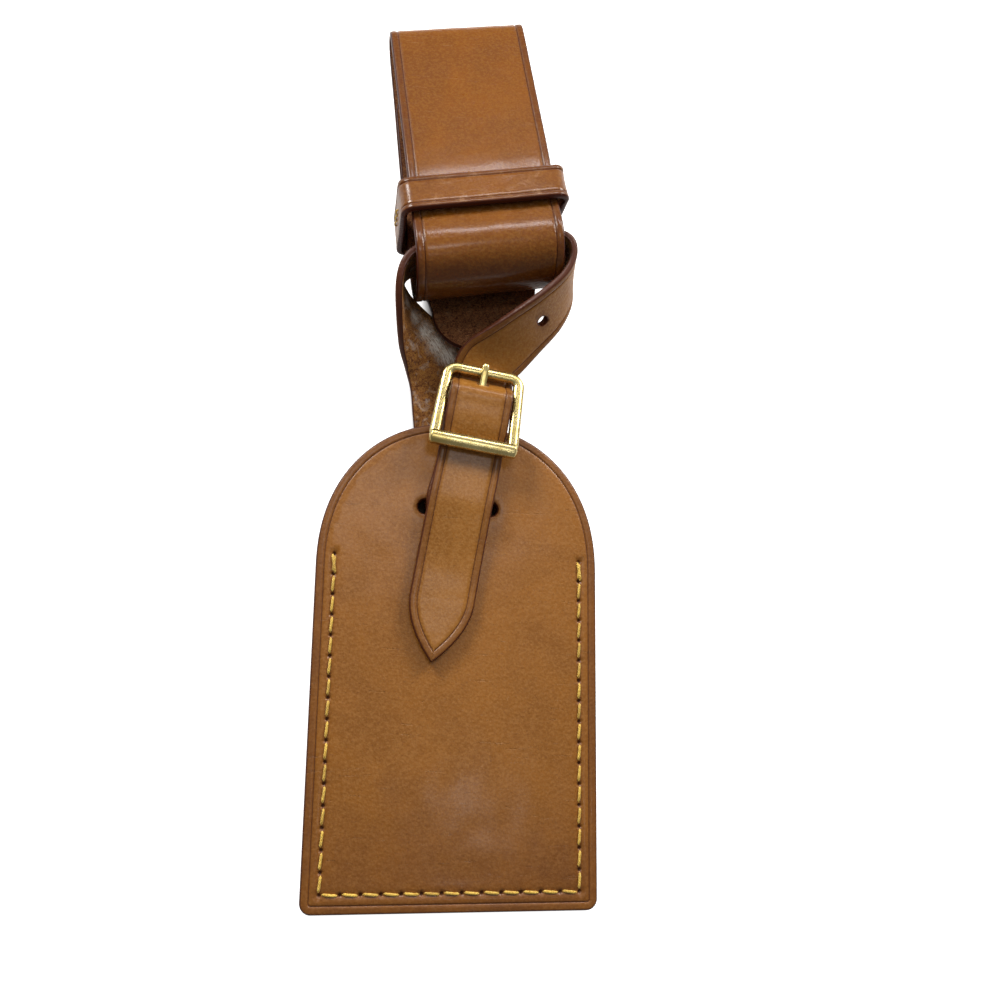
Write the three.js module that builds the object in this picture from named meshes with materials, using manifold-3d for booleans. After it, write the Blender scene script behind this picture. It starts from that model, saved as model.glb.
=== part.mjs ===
// Luggage tag with belt strap, buckle and snap-closed handle loop. Millimetres, +Z up.
// It lies on its back: X runs across the tag, Y from its bottom edge towards the handle loop.
import * as THREE from 'three';
import { mergeVertices } from 'three/addons/utils/BufferGeometryUtils.js';
import Module from 'manifold-3d';

const wasm = await Module();
wasm.setup();

// ---- Driving dimensions ----
const TAG_W = 65.0;            // across the sewn pocket
const TAG_H = 109.6;           // bottom edge to the crown of the arch
const ARCH_H = 34.8;           // height of the arched end
const ARCH_POWER = 2.21;       // 2 would be a plain ellipse
const CORNER_R = 2.5;          // the two bottom corners
const PANEL_T = 1.6;           // thickness of each leather panel
const POCKET_GAP = 0.5;        // room for the card between the panels
const TAG_TILT = 1.5;          // degrees, the arch end rests on the strap
const SLOT_Y = 89.2;           // slot centre above the bottom edge
const SLOT_X = -0.45;
const SLOT_L = 18.6;
const SLOT_W = 3.3;
const SEAM_INSET = 4.1;        // stitch line from the edge
const STITCH = 4.45;           // stitch pitch
const SEAM_TOP = 77.5;         // where the side seams stop
const NEEDLE = 1.4;            // side of a needle hole
const THREAD = 0.5;            // thread thickness
const GROOVE_W = 1.7;          // sunk stitch line
const GROOVE_D = 0.62;
const CARD_W = 54.0;
const CARD_H = 70.0;
const CARD_T = 0.3;
const CARD_Y = 5.8;            // bottom edge of the card, just above the bottom seam

const STRAP_W = 15.0;          // narrow strap
const STRAP_T = 1.8;
const SKIVED_T = 1.0;          // thinned where it wraps the buckle bar
const HOLE_D = 3.0;            // punched adjusting holes
const TAPER_L = 14.5;          // pointed end of the strap
const LEAN = 8.5;              // degrees, strap and buckle against the tag's centre line

const FRAME_X = 3.4;           // buckle centre
const FRAME_Y = 111.8;
const FRAME_TOP_W = 19.2;
const FRAME_BOTTOM_W = 20.4;
const FRAME_BAR = 1.8;         // side rails
const FRAME_T = 2.0;
const LOWER_BAR_R = 1.45;      // thicker round lower bar
const UPPER_BAR_Y = 9.0;       // bar centre lines, from the frame centre
const LOWER_BAR_Y = -8.7;
const UPPER_BAR_Z = 9.7;
const LOWER_BAR_Z = 12.55;
const CENTRE_BAR_Y = 1.0;
const CENTRE_BAR_Z = 9.0;
const CENTRE_BAR_R = 0.8;
const PRONG_W = 2.3;
const PRONG_T = 0.9;
const PRONG_TIP = 10.9;        // from the frame centre

const LOOP_W = 35.2;           // wide strap
const LOOP_T = 1.9;
const LOOP_X = 4.0;            // where the narrow strap crosses inside it
const LOOP_Y = 149.9;
const LOOP_Z = 14.35;
const LOOP_WIDTH_ANGLE = 11.0; // degrees, direction of its folds
const LOOP_AXIS_ANGLE = 6.1;   // degrees, lean of its long axis
const NEAR_R = 8.85;           // middle of the leather at the lower fold
const FAR_R = 2.9;             // middle of the leather at the upper fold
const LOOP_L = 64.5;           // between the two fold centres
const FAR_Z = 4.1;
const BACK_Z = 3.3;            // middle of the back layer below the lower fold
const INNER_END = 50.0;        // how far the inner end runs up inside the back
const TAB_L = 21.6;            // tab beyond the lower fold's centre
const TAB_HALF = 13.0;
const TAB_ROUND = 11.5;
const SNAP_A = 40.0;           // snap position along the loop
const SNAP_R = 5.8;

const KEEPER_W = 9.6;          // band width
const KEEPER_T = 1.7;
const KEEPER_IN = 37.0;        // inside width
const KEEPER_A = 12.6;         // position along the loop
const KEEPER_R = 2.3;          // corner radius at mid thickness

// ---- Colours ----
const leather = (hex) => new THREE.MeshStandardMaterial({ color: hex, roughness: 0.45, metalness: 0 });
const TAN = leather(0xb07845);
const BROWN = leather(0xa8672c);
const BRASS = new THREE.MeshStandardMaterial({ color: 0xd8c27a, roughness: 0.25, metalness: 1 });
const YARN = new THREE.MeshStandardMaterial({ color: 0xc79a2c, roughness: 0.8, metalness: 0 });
const PAPER = new THREE.MeshStandardMaterial({ color: 0xf4f1e6, roughness: 0.9, metalness: 0 });

const rad = (degrees) => degrees * Math.PI / 180;
const V = (x, y, z) => new THREE.Vector3(x, y, z);
const group = new THREE.Group();

// ---- Solid helpers ----
function toManifold(geometry) {
  const g = geometry.clone();
  g.deleteAttribute('normal');
  g.deleteAttribute('uv');
  const m = mergeVertices(g, 1e-4);
  return new wasm.Manifold(new wasm.Mesh({
    numProp: 3,
    vertProperties: new Float32Array(m.attributes.position.array),
    triVerts: new Uint32Array(m.index.array),
  }));
}

function toGeometry(solid) {
  const mesh = solid.getMesh();
  const g = new THREE.BufferGeometry();
  const points = new Float32Array(mesh.numVert * 3);
  for (let i = 0; i < mesh.numVert; i += 1) {
    for (let k = 0; k < 3; k += 1) points[3 * i + k] = mesh.vertProperties[mesh.numProp * i + k];
  }
  g.setAttribute('position', new THREE.BufferAttribute(points, 3));
  g.setIndex(new THREE.BufferAttribute(new Uint32Array(mesh.triVerts), 1));
  g.computeVertexNormals();
  return g;
}

function add(name, geometry, material) {
  const mesh = new THREE.Mesh(geometry, material);
  mesh.name = name;
  group.add(mesh);
}

function solidFromRows(rows, closed) {
  // Rows of equal length, each an ordered outline of one cross-section.
  const n = rows[0].length;
  const points = [];
  for (const row of rows) for (const p of row) points.push(p.x, p.y, p.z);
  const index = [];
  const count = rows.length;
  const last = closed ? count : count - 1;
  for (let i = 0; i < last; i += 1) {
    const a = i * n;
    const b = ((i + 1) % count) * n;
    for (let j = 0; j < n; j += 1) {
      const k = (j + 1) % n;
      index.push(a + j, a + k, b + j, a + k, b + k, b + j);
    }
  }
  if (!closed) {
    const end = (count - 1) * n;
    for (let j = 1; j + 1 < n; j += 1) {
      index.push(0, j + 1, j);
      index.push(end, end + j, end + j + 1);
    }
  }
  const g = new THREE.BufferGeometry();
  g.setAttribute('position', new THREE.BufferAttribute(new Float32Array(points), 3));
  g.setIndex(index);
  let volume = 0;
  for (let t = 0; t < index.length; t += 3) {
    const p = V(points[3 * index[t]], points[3 * index[t] + 1], points[3 * index[t] + 2]);
    const q = V(points[3 * index[t + 1]], points[3 * index[t + 1] + 1], points[3 * index[t + 1] + 2]);
    const r = V(points[3 * index[t + 2]], points[3 * index[t + 2] + 1], points[3 * index[t + 2] + 2]);
    volume += p.dot(q.cross(r)) / 6;
  }
  if (volume < 0) {
    for (let t = 0; t < index.length; t += 3) [index[t + 1], index[t + 2]] = [index[t + 2], index[t + 1]];
    g.setIndex(index);
  }
  return g;
}

// A leather strip through stations { p, w, h, t }: centre, width direction, half width, thickness.
function sampleStations(stations, step, closed) {
  const curve = new THREE.CatmullRomCurve3(stations.map((s) => s.p), closed, 'centripetal');
  const spans = closed ? stations.length : stations.length - 1;
  const out = [];
  for (let i = 0; i < spans; i += 1) {
    const a = stations[i];
    const b = stations[(i + 1) % stations.length];
    const n = Math.max(1, Math.round(a.p.distanceTo(b.p) / step));
    for (let k = 0; k < n; k += 1) {
      const f = k / n;
      const u = (i + f) / spans;
      out.push({
        p: curve.getPoint(u),
        d: curve.getTangent(u),
        w: a.w.clone().lerp(b.w, f),
        h: a.h + (b.h - a.h) * f,
        t: a.t + (b.t - a.t) * f,
      });
    }
  }
  if (!closed) {
    const e = stations[stations.length - 1];
    out.push({ p: e.p.clone(), d: curve.getTangent(1), w: e.w.clone(), h: e.h, t: e.t });
  }
  for (const s of out) {
    s.w.addScaledVector(s.d, -s.w.dot(s.d)).normalize();
    s.n = s.d.clone().cross(s.w).normalize();
  }
  return out;
}

function strip(samples, closed) {
  const rows = samples.map((s) => {
    const at = (i, j) => s.p.clone().addScaledVector(s.w, s.h * i).addScaledVector(s.n, 0.5 * s.t * j);
    return [at(-1, -1), at(0, -1), at(1, -1), at(1, 1), at(0, 1), at(-1, 1)];
  });
  return solidFromRows(rows, closed);
}

// A square thread along points, with a fixed side direction.
function yarn(points, side, size) {
  const rows = points.map((p, i) => {
    const a = points[Math.max(0, i - 1)];
    const b = points[Math.min(points.length - 1, i + 1)];
    const d = b.clone().sub(a).normalize();
    const u = side(i).clone().addScaledVector(d, -side(i).dot(d)).normalize();
    const v = d.clone().cross(u).normalize();
    const at = (x, y) => p.clone().addScaledVector(u, x * size / 2).addScaledVector(v, y * size / 2);
    return [at(-1, -1), at(1, -1), at(1, 1), at(-1, 1)];
  });
  return solidFromRows(rows, false);
}

const box = (x, y, z, matrix) => toManifold(new THREE.BoxGeometry(x, y, z).applyMatrix4(matrix));
const frameMatrix = (x, y, z, origin) => new THREE.Matrix4().makeBasis(x, y, z).setPosition(origin);

// ---- Tag pocket ----
const tilt = new THREE.Matrix4().makeRotationX(rad(TAG_TILT));
const tagPoint = (x, y, z) => V(x, y, z).applyMatrix4(tilt);
const half = TAG_W / 2;
const shoulder = TAG_H - ARCH_H;

function tagShape() {
  const s = new THREE.Shape();
  const corner = 5;
  for (let i = 0; i <= corner; i += 1) {
    const a = -Math.PI / 2 + (Math.PI / 2) * i / corner;
    const x = half - CORNER_R + CORNER_R * Math.cos(a);
    const y = CORNER_R + CORNER_R * Math.sin(a);
    if (i === 0) s.moveTo(x, y);
    else s.lineTo(x, y);
  }
  const arch = 40;
  for (let i = 0; i <= arch; i += 1) {
    const a = Math.PI * i / arch;
    const c = Math.cos(a);
    const x = half * Math.sign(c) * Math.abs(c) ** (2 / ARCH_POWER);
    const y = shoulder + ARCH_H * Math.abs(Math.sin(a)) ** (2 / ARCH_POWER);
    s.lineTo(x, y);
  }
  for (let i = 0; i <= corner; i += 1) {
    const a = Math.PI + (Math.PI / 2) * i / corner;
    s.lineTo(-half + CORNER_R + CORNER_R * Math.cos(a), CORNER_R + CORNER_R * Math.sin(a));
  }
  s.closePath();
  return s;
}

// Needle positions: down the left side, along the bottom and up the right side.
function seamPoints() {
  const x = half - SEAM_INSET;
  const sideCount = Math.round((SEAM_TOP - SEAM_INSET) / STITCH);
  const sidePitch = (SEAM_TOP - SEAM_INSET) / sideCount;
  const bottomCount = Math.round(2 * x / STITCH);
  const list = [];
  for (let i = 0; i < sideCount; i += 1) list.push([-x, SEAM_TOP - i * sidePitch]);
  for (let i = 0; i < bottomCount; i += 1) list.push([-x + i * 2 * x / bottomCount, SEAM_INSET]);
  for (let i = 0; i <= sideCount; i += 1) list.push([x, SEAM_INSET + i * sidePitch]);
  return list;
}
const seam = seamPoints();
const tagT = 2 * PANEL_T + POCKET_GAP;

function slotCutter() {
  const r = SLOT_W / 2;
  const s = new THREE.Shape();
  s.absarc(SLOT_X + SLOT_L / 2 - r, SLOT_Y, r, -Math.PI / 2, Math.PI / 2, false);
  s.absarc(SLOT_X - SLOT_L / 2 + r, SLOT_Y, r, Math.PI / 2, 1.5 * Math.PI, false);
  const g = new THREE.ExtrudeGeometry(s, { depth: 12, bevelEnabled: false, curveSegments: 6 });
  return toManifold(g.translate(0, 0, -4));
}

function panel(z0) {
  const g = new THREE.ExtrudeGeometry(tagShape(), { depth: PANEL_T, bevelEnabled: false, curveSegments: 1 });
  let solid = toManifold(g.translate(0, 0, z0)).subtract(slotCutter());
  const needles = seam.map(([x, y]) => toManifold(
    new THREE.BoxGeometry(NEEDLE, NEEDLE, 12).translate(x, y, 0)));
  solid = solid.subtract(wasm.Manifold.union(needles));
  const outer = z0 > 0 ? z0 + PANEL_T : 0;
  const x = half - SEAM_INSET;
  const tall = SEAM_TOP - SEAM_INSET + GROOVE_W;
  const grooves = [[-x, (SEAM_TOP + SEAM_INSET) / 2, GROOVE_W, tall], [x, (SEAM_TOP + SEAM_INSET) / 2, GROOVE_W, tall],
    [0, SEAM_INSET, 2 * x + GROOVE_W, GROOVE_W]].map(([gx, gy, w, h]) => toManifold(
    new THREE.BoxGeometry(w, h, 2 * GROOVE_D).translate(gx, gy, outer)));
  solid = solid.subtract(wasm.Manifold.union(grooves));
  return toGeometry(solid).applyMatrix4(tilt);
}
add('back_panel', panel(0), TAN);
add('front_panel', panel(PANEL_T + POCKET_GAP), TAN);

// Two threads share the needle holes and take turns on each face (saddle stitch).
function saddleThread(phase) {
  const lift = -(THREAD / 2 + 0.05);
  const shift = 0.36;
  const points = [];
  const sides = [];
  seam.forEach(([x, y], i) => {
    const prev = seam[Math.max(0, i - 1)];
    const next = seam[Math.min(seam.length - 1, i + 1)];
    const d = V(next[0] - prev[0], next[1] - prev[1], 0).normalize();
    const side = V(-d.y, d.x, 0);
    const across = phase === 0 ? shift : -shift;
    const q = V(x, y, 0).addScaledVector(side, across);
    const topFirst = (i + phase) % 2 === 0;
    const zs = topFirst ? [-lift, tagT + lift] : [tagT + lift, -lift];
    for (const z of zs) {
      points.push(tagPoint(q.x, q.y, z));
      sides.push(side);
    }
  });
  return yarn(points, (i) => sides[i], THREAD);
}
add('seam_thread_a', saddleThread(0), YARN);
add('seam_thread_b', saddleThread(1), YARN);

add('name_card', new THREE.BoxGeometry(CARD_W, CARD_H, CARD_T)
  .translate(0, CARD_Y + CARD_H / 2, tagT / 2).applyMatrix4(tilt), PAPER);

// ---- Buckle frame coordinates ----
const lean = rad(LEAN);
const ex = V(Math.cos(lean), -Math.sin(lean), 0);
const ey = V(Math.sin(lean), Math.cos(lean), 0);
const ez = V(0, 0, 1);
const B = (x, y, z) => V(FRAME_X, FRAME_Y, 0).addScaledVector(ex, x).addScaledVector(ey, y).setZ(z);

// ---- Loop coordinates ----
const wa = rad(LOOP_WIDTH_ANGLE);
const aa = rad(LOOP_AXIS_ANGLE);
const lw = V(Math.cos(wa), Math.sin(wa), 0);
const la = V(-Math.sin(aa), Math.cos(aa), 0);
const K = (w, a, z) => V(LOOP_X, LOOP_Y, 0).addScaledVector(lw, w).addScaledVector(la, a).setZ(z);

// ---- Narrow strap route, fixed end to tip ----
const hw = STRAP_W / 2;
const left = ex.clone().negate();
const route = [];
const go = (p, w, t = STRAP_T, h = hw) => route.push({ p, w, h, t });
const wrapR = CENTRE_BAR_R + 0.12 + SKIVED_T / 2;

go(B(0, -5.6, 7.35), left, 0.6);
go(B(0, -3.2, 7.5), left, SKIVED_T);
for (let i = 0; i <= 6; i += 1) {
  const a = -Math.PI / 2 + Math.PI * i / 6;
  go(B(0, CENTRE_BAR_Y + wrapR * Math.cos(a), CENTRE_BAR_Z + wrapR * Math.sin(a)), left, SKIVED_T);
}
go(B(0, -1.4, 10.15), left, 1.1);
go(B(0, -3.8, 9.35), left, 1.3);
go(B(0, -6.0, 8.6), left, 1.6);
go(B(0, -9.0, 7.75), left);
go(B(0, -14.0, 7.32), V(-0.994, 0.11, 0));
const U_Y = 90.7;
const U_R = 1.5;
const slotLeft = V(-0.998, 0.06, 0);
for (let i = 0; i <= 4; i += 1) {
  const a = Math.PI / 2 + (Math.PI / 2) * i / 4;
  go(V(-0.5, U_Y + U_R * Math.cos(a), 5.72 + U_R * Math.sin(a)), slotLeft);
}
for (let i = 0; i <= 4; i += 1) {
  const a = Math.PI + (Math.PI / 2) * i / 4;
  go(V(-0.5, U_Y + U_R * Math.cos(a), 2.6 + U_R * Math.sin(a)), slotLeft);
}
go(V(-1.4, 97.5, 1.06), V(-0.995, -0.1, 0));
go(V(-3.0, 106.0, 1.06), V(-0.99, -0.13, 0));
go(V(-4.0, 114.0, 1.1), V(-0.998, -0.06, 0.0));
go(V(-4.9, 121.0, 1.5), V(-0.99, -0.08, 0.06));
go(V(-7.4, 127.0, 3.0), V(-0.95, -0.16, 0.25));
go(V(-11.8, 132.0, 7.3), V(-0.55, -0.14, 0.82));
go(V(-14.9, 136.4, 11.2), V(-0.2, -0.05, 0.97));
go(V(-16.0, 140.6, 13.8), V(-0.04, 0, 1));
go(V(-15.3, 144.2, LOOP_Z), ez);
go(V(-12.9, 146.4, LOOP_Z), ez);
go(K(-12.5, 0.3, LOOP_Z), ez);
go(K(0, 0, LOOP_Z), ez);
go(K(14.0, 0.2, LOOP_Z), ez);
go(K(18.2, 0.0, LOOP_Z), ez);
go(V(24.0, 152.2, LOOP_Z), ez);
go(V(25.1, 148.4, 14.0), V(-0.1, 0, 1));
go(V(24.4, 143.0, 14.0), V(-0.3, 0.05, 0.95));
go(V(20.3, 137.0, 13.3), V(-0.46, 0.25, 0.85));
go(V(14.3, 131.6, 11.0), V(-0.6, 0.3, 0.74));
go(V(9.4, 127.3, 8.9), V(-0.82, 0.3, 0.48));
go(B(0.3, 12.4, 7.6), V(-0.96, 0.2, 0.2));
go(B(0, UPPER_BAR_Y + 0.3, 7.0), left);
go(B(0, 7.7, 7.35), left);
go(B(0, 6.4, 8.9), left);
go(B(0, 5.3, 10.9), left);
go(B(0, 4.4, 12.2), left);
go(B(0, 3.4, 12.6), left);
go(B(0, CENTRE_BAR_Y, 12.3), left);
go(B(0, -3.8, 11.6), left);
go(B(0, -8.8, 9.85), left);
go(B(0, -14.0, 9.35), left);
go(V(-0.15, 90.0, 8.95), V(-0.988, 0.155, 0));
go(V(-1.1, 84.0, 8.0), V(-0.988, 0.155, 0));
go(V(-2.4, 76.0, 7.1), V(-0.988, 0.155, 0));
const tipStart = V(-3.75, 67.6, 6.9);
const tipDir = V(-0.155, -0.988, 0.012).normalize();
for (let i = 0; i <= 8; i += 1) {
  const f = i / 8;
  const h = hw * (1 - f ** 1.55) + 0.25 * f;
  go(tipStart.clone().addScaledVector(tipDir, TAPER_L * f), V(-0.988, 0.155, 0), STRAP_T, h);
}
const samples = sampleStations(route, 1.7, false);
let strap = toManifold(strip(samples, false));

// Slot in the fold for the prong, and the prong's way through the hole in use.
const buckleBasis = (p) => frameMatrix(ex, ey, ez, p);
strap = strap.subtract(box(3.0, 6.0, 4.2, buckleBasis(B(0, 0.9, CENTRE_BAR_Z))));
const prongSlope = Math.atan2(UPPER_BAR_Z + FRAME_T / 2 + 0.2 + PRONG_T / 2 - (CENTRE_BAR_Z + 1.35),
  UPPER_BAR_Y - CENTRE_BAR_Y);
const prongDir = ey.clone().multiplyScalar(Math.cos(prongSlope)).addScaledVector(ez, Math.sin(prongSlope));
const prongUp = ex.clone().cross(prongDir);
strap = strap.subtract(box(2.9, 6.0, 1.9, frameMatrix(ex, prongDir, prongUp,
  B(0, 6.3, CENTRE_BAR_Z + 1.35 + 5.3 * Math.tan(prongSlope) + 0.15))));

// Punched holes further along the strap.
const travel = [0];
for (let i = 1; i < samples.length; i += 1) travel.push(travel[i - 1] + samples[i].p.distanceTo(samples[i - 1].p));
const prongHole = samples.reduce((best, s, i) => (
  i > samples.length / 2 && s.p.distanceTo(B(0, 5.9, 10.7)) < samples[best].p.distanceTo(B(0, 5.9, 10.7)) ? i : best),
samples.length - 1);
for (const back of [24.0, 48.0]) {
  const at = travel[prongHole] - back;
  let k = 1;
  while (travel[k] < at) k += 1;
  const s = samples[k];
  const punch = new THREE.CylinderGeometry(HOLE_D / 2, HOLE_D / 2, 5, 14)
    .applyMatrix4(frameMatrix(s.w, s.n, s.w.clone().cross(s.n), s.p));
  strap = strap.subtract(toManifold(punch));
}

// Stitches that close the fold, across the strap below the bar.
const foldY = -3.6;
const foldXs = [-5.4, -1.8, 1.8, 5.4];
for (const x of foldXs) strap = strap.subtract(box(0.9, 0.9, 3.6, buckleBasis(B(x, foldY, 8.4))));
add('tag_strap', toGeometry(strap), TAN);
const foldTop = 10.4;
const foldLow = 6.83;
const foldPath = [];
foldXs.forEach((x, i) => {
  const zs = i % 2 === 0 ? [foldLow, foldTop] : [foldTop, foldLow];
  for (const z of zs) foldPath.push(B(x, foldY, z));
});
add('fold_thread', yarn(foldPath, () => ey, 0.34), YARN);

// ---- Buckle ----
const frameSlope = Math.atan2(UPPER_BAR_Z - LOWER_BAR_Z, UPPER_BAR_Y - LOWER_BAR_Y);
const frameUp = ey.clone().multiplyScalar(Math.cos(frameSlope)).addScaledVector(ez, Math.sin(frameSlope));
const frameN = ex.clone().cross(frameUp);
const onFrame = (y) => (UPPER_BAR_Z - LOWER_BAR_Z) / (UPPER_BAR_Y - LOWER_BAR_Y) * (y - LOWER_BAR_Y) + LOWER_BAR_Z;

function trapezoid(path, top, bottom, wTop, wBottom, rTop, rBottom) {
  const corners = [[-wBottom, bottom, rBottom, Math.PI], [wBottom, bottom, rBottom, 1.5 * Math.PI],
    [wTop, top, rTop, 0], [-wTop, top, rTop, Math.PI / 2]];
  let first = true;
  for (const [x, y, r, start] of corners) {
    for (let i = 0; i <= 6; i += 1) {
      const a = start + (Math.PI / 2) * i / 6;
      const cx = x - Math.sign(x) * r;
      const cy = y > 0 ? y - r : y + r;
      const px = cx + r * Math.cos(a);
      const py = cy + r * Math.sin(a);
      if (first) path.moveTo(px, py);
      else path.lineTo(px, py);
      first = false;
    }
  }
  path.closePath();
}
const outline = new THREE.Shape();
const bevel = 0.45;
trapezoid(outline, UPPER_BAR_Y + 1.0 - bevel, LOWER_BAR_Y - 1.0 + bevel,
  FRAME_TOP_W / 2 - bevel, FRAME_BOTTOM_W / 2 - bevel, 2.4, 1.0);
const inside = new THREE.Path();
trapezoid(inside, UPPER_BAR_Y - 1.0 + bevel, LOWER_BAR_Y + 1.0 - bevel,
  FRAME_TOP_W / 2 - FRAME_BAR + bevel, FRAME_BOTTOM_W / 2 - FRAME_BAR + bevel, 1.6, 1.2);
outline.holes.push(inside);
const rimGeometry = new THREE.ExtrudeGeometry(outline, {
  depth: FRAME_T - 2 * bevel, bevelEnabled: true, bevelThickness: bevel, bevelSize: bevel,
  bevelSegments: 2, curveSegments: 1,
}).translate(0, 0, -FRAME_T / 2 + bevel);
rimGeometry.applyMatrix4(frameMatrix(ex, frameUp, frameN, B(0, 0, onFrame(0))));
let frame = toManifold(rimGeometry);
const lowerProfile = [[0, -10.2], [0.9, -10.1], [LOWER_BAR_R, -9.5], [LOWER_BAR_R, 9.5], [0.9, 10.1], [0, 10.2]]
  .map(([x, y]) => new THREE.Vector2(x, y));
const lowerBar = new THREE.LatheGeometry(lowerProfile, 14)
  .applyMatrix4(frameMatrix(ez, ex, ez.clone().cross(ex), B(0, LOWER_BAR_Y, LOWER_BAR_Z)));
frame = frame.add(toManifold(lowerBar));
const railX = (FRAME_TOP_W + FRAME_BOTTOM_W) / 4 - FRAME_BAR / 2;
const centreBar = new THREE.CylinderGeometry(CENTRE_BAR_R, CENTRE_BAR_R, 2 * railX, 14)
  .applyMatrix4(frameMatrix(ez, ex, ez.clone().cross(ex), B(0, CENTRE_BAR_Y, CENTRE_BAR_Z)));
frame = frame.add(toManifold(centreBar));
for (const side of [-1, 1]) {
  const low = CENTRE_BAR_Z - CENTRE_BAR_R;
  const high = onFrame(CENTRE_BAR_Y) + 0.3;
  frame = frame.add(box(1.3, 2 * CENTRE_BAR_R, high - low,
    buckleBasis(B(side * (railX + 0.05), CENTRE_BAR_Y, (high + low) / 2))));
}
add('buckle_frame', toGeometry(frame), BRASS);

// Prong: a ring round the centre bar and a flat strip that rests on the upper bar.
const ringOuter = CENTRE_BAR_R + 0.1 + PRONG_T;
const ringProfile = new THREE.Shape();
ringProfile.absarc(0, 0, ringOuter, 0, 2 * Math.PI, false);
const ringHole = new THREE.Path();
ringHole.absarc(0, 0, CENTRE_BAR_R + 0.1, 0, 2 * Math.PI, true);
ringProfile.holes.push(ringHole);
const ringMatrix = frameMatrix(ey, ez, ex, B(0, CENTRE_BAR_Y, CENTRE_BAR_Z));
let prong = toManifold(new THREE.ExtrudeGeometry(ringProfile, { depth: PRONG_W, bevelEnabled: false, curveSegments: 10 })
  .translate(0, 0, -PRONG_W / 2).applyMatrix4(ringMatrix));
const stripShape = new THREE.Shape();
const tipY = PRONG_TIP - CENTRE_BAR_Y;
stripShape.moveTo(-PRONG_W / 2, 0.2);
stripShape.lineTo(PRONG_W / 2, 0.2);
stripShape.lineTo(PRONG_W / 2, tipY - 0.7);
stripShape.lineTo(PRONG_W / 2 - 0.35, tipY - 0.15);
stripShape.lineTo(PRONG_W / 2 - 0.8, tipY);
stripShape.lineTo(-PRONG_W / 2 + 0.8, tipY);
stripShape.lineTo(-PRONG_W / 2 + 0.35, tipY - 0.15);
stripShape.lineTo(-PRONG_W / 2, tipY - 0.7);
stripShape.closePath();
const stripBody = new THREE.ExtrudeGeometry(stripShape, { depth: PRONG_T, bevelEnabled: false })
  .translate(0, 0, -PRONG_T / 2)
  .applyMatrix4(frameMatrix(ex, prongDir, prongUp, B(0, CENTRE_BAR_Y, CENTRE_BAR_Z + 1.35)));
prong = prong.add(toManifold(stripBody));
add('buckle_prong', toGeometry(prong), BRASS);

// ---- Handle loop ----
const slopeTop = Math.atan2(LOOP_Z - FAR_Z, LOOP_L)
  + Math.asin((NEAR_R - FAR_R) / Math.hypot(LOOP_L, LOOP_Z - FAR_Z));
const wide = [];
const lay = (a, z, h = LOOP_W / 2) => wide.push({ p: K(0, a, z), w: lw.clone(), h, t: LOOP_T });
const snapGap = 2.0;
const farBottom = FAR_Z - FAR_R;
const backZ = (a) => farBottom + (BACK_Z - farBottom) * (LOOP_L - a) / (LOOP_L - 4);
const innerZ = backZ(SNAP_A) + LOOP_T + snapGap;
for (const f of [0, 0.12, 0.3, 0.6, 1]) {
  const h = LOOP_W / 2 - 2.6 * (1 - f) ** 2;
  lay(INNER_END - 6 * f, innerZ, h);
}
lay(SNAP_A - 7, innerZ);
lay(18, LOOP_Z - NEAR_R + 0.1);
lay(8, LOOP_Z - NEAR_R);
for (let i = 0; i <= 14; i += 1) {
  const a = 1.5 * Math.PI - (Math.PI + slopeTop) * i / 14;
  lay(NEAR_R * Math.cos(a), LOOP_Z + NEAR_R * Math.sin(a));
}
lay(24, LOOP_Z + NEAR_R * Math.cos(slopeTop) - (24 - NEAR_R * Math.sin(slopeTop)) * Math.tan(slopeTop));
for (let i = 0; i <= 7; i += 1) {
  const a = Math.PI / 2 - slopeTop - (Math.PI - slopeTop) * i / 7;
  lay(LOOP_L + FAR_R * Math.cos(a), FAR_Z + FAR_R * Math.sin(a));
}
lay(LOOP_L - 8, backZ(LOOP_L - 8));
lay(SNAP_A + 7, backZ(SNAP_A));
lay(SNAP_A - 7, backZ(SNAP_A));
lay(20, backZ(20));
lay(6, BACK_Z);
const tabStart = -(TAB_L - TAB_ROUND);
lay(0, BACK_Z, LOOP_W / 2 - 0.5);
lay(-3, BACK_Z + 0.25, LOOP_W / 2 - 2.0);
lay(-6.5, BACK_Z + 1.0, TAB_HALF + 0.7);
lay(tabStart, BACK_Z + 2.0, TAB_HALF);
for (let i = 1; i <= 8; i += 1) {
  const f = Math.sin((Math.PI / 2) * i / 8);
  const h = TAB_HALF * Math.max(0.0, 1 - f ** 2.3) ** (1 / 2.3) + 0.6 * f ** 8;
  lay(tabStart - TAB_ROUND * f, BACK_Z + 2.0 + 2.3 * f - 0.6 * f * f, h);
}
const wideSamples = sampleStations(wide, 2.6, false).map((s) => {
  // The fold lines keep one direction while the strip leans along its axis.
  const n = s.d.clone().cross(lw).normalize();
  return { p: s.p, w: lw.clone(), n, h: s.h, t: s.t };
});
let handle = toManifold(strip(wideSamples, false));

// ---- Snap fastener, closed: outer half on the back layer, inner half on the inner end ----
const backMid = backZ(SNAP_A);
const backLow = backMid - LOOP_T / 2;
const backHigh = backMid + LOOP_T / 2;
const innerLow = innerZ - LOOP_T / 2;
const innerHigh = innerZ + LOOP_T / 2;
const shaft = new THREE.CylinderGeometry(1.7, 1.7, 14, 16).rotateX(Math.PI / 2);
const snapAt = K(0, SNAP_A, 0);
handle = handle.subtract(toManifold(shaft.translate(snapAt.x, snapAt.y, 2)));
add('handle_loop', toGeometry(handle), BROWN);

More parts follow.
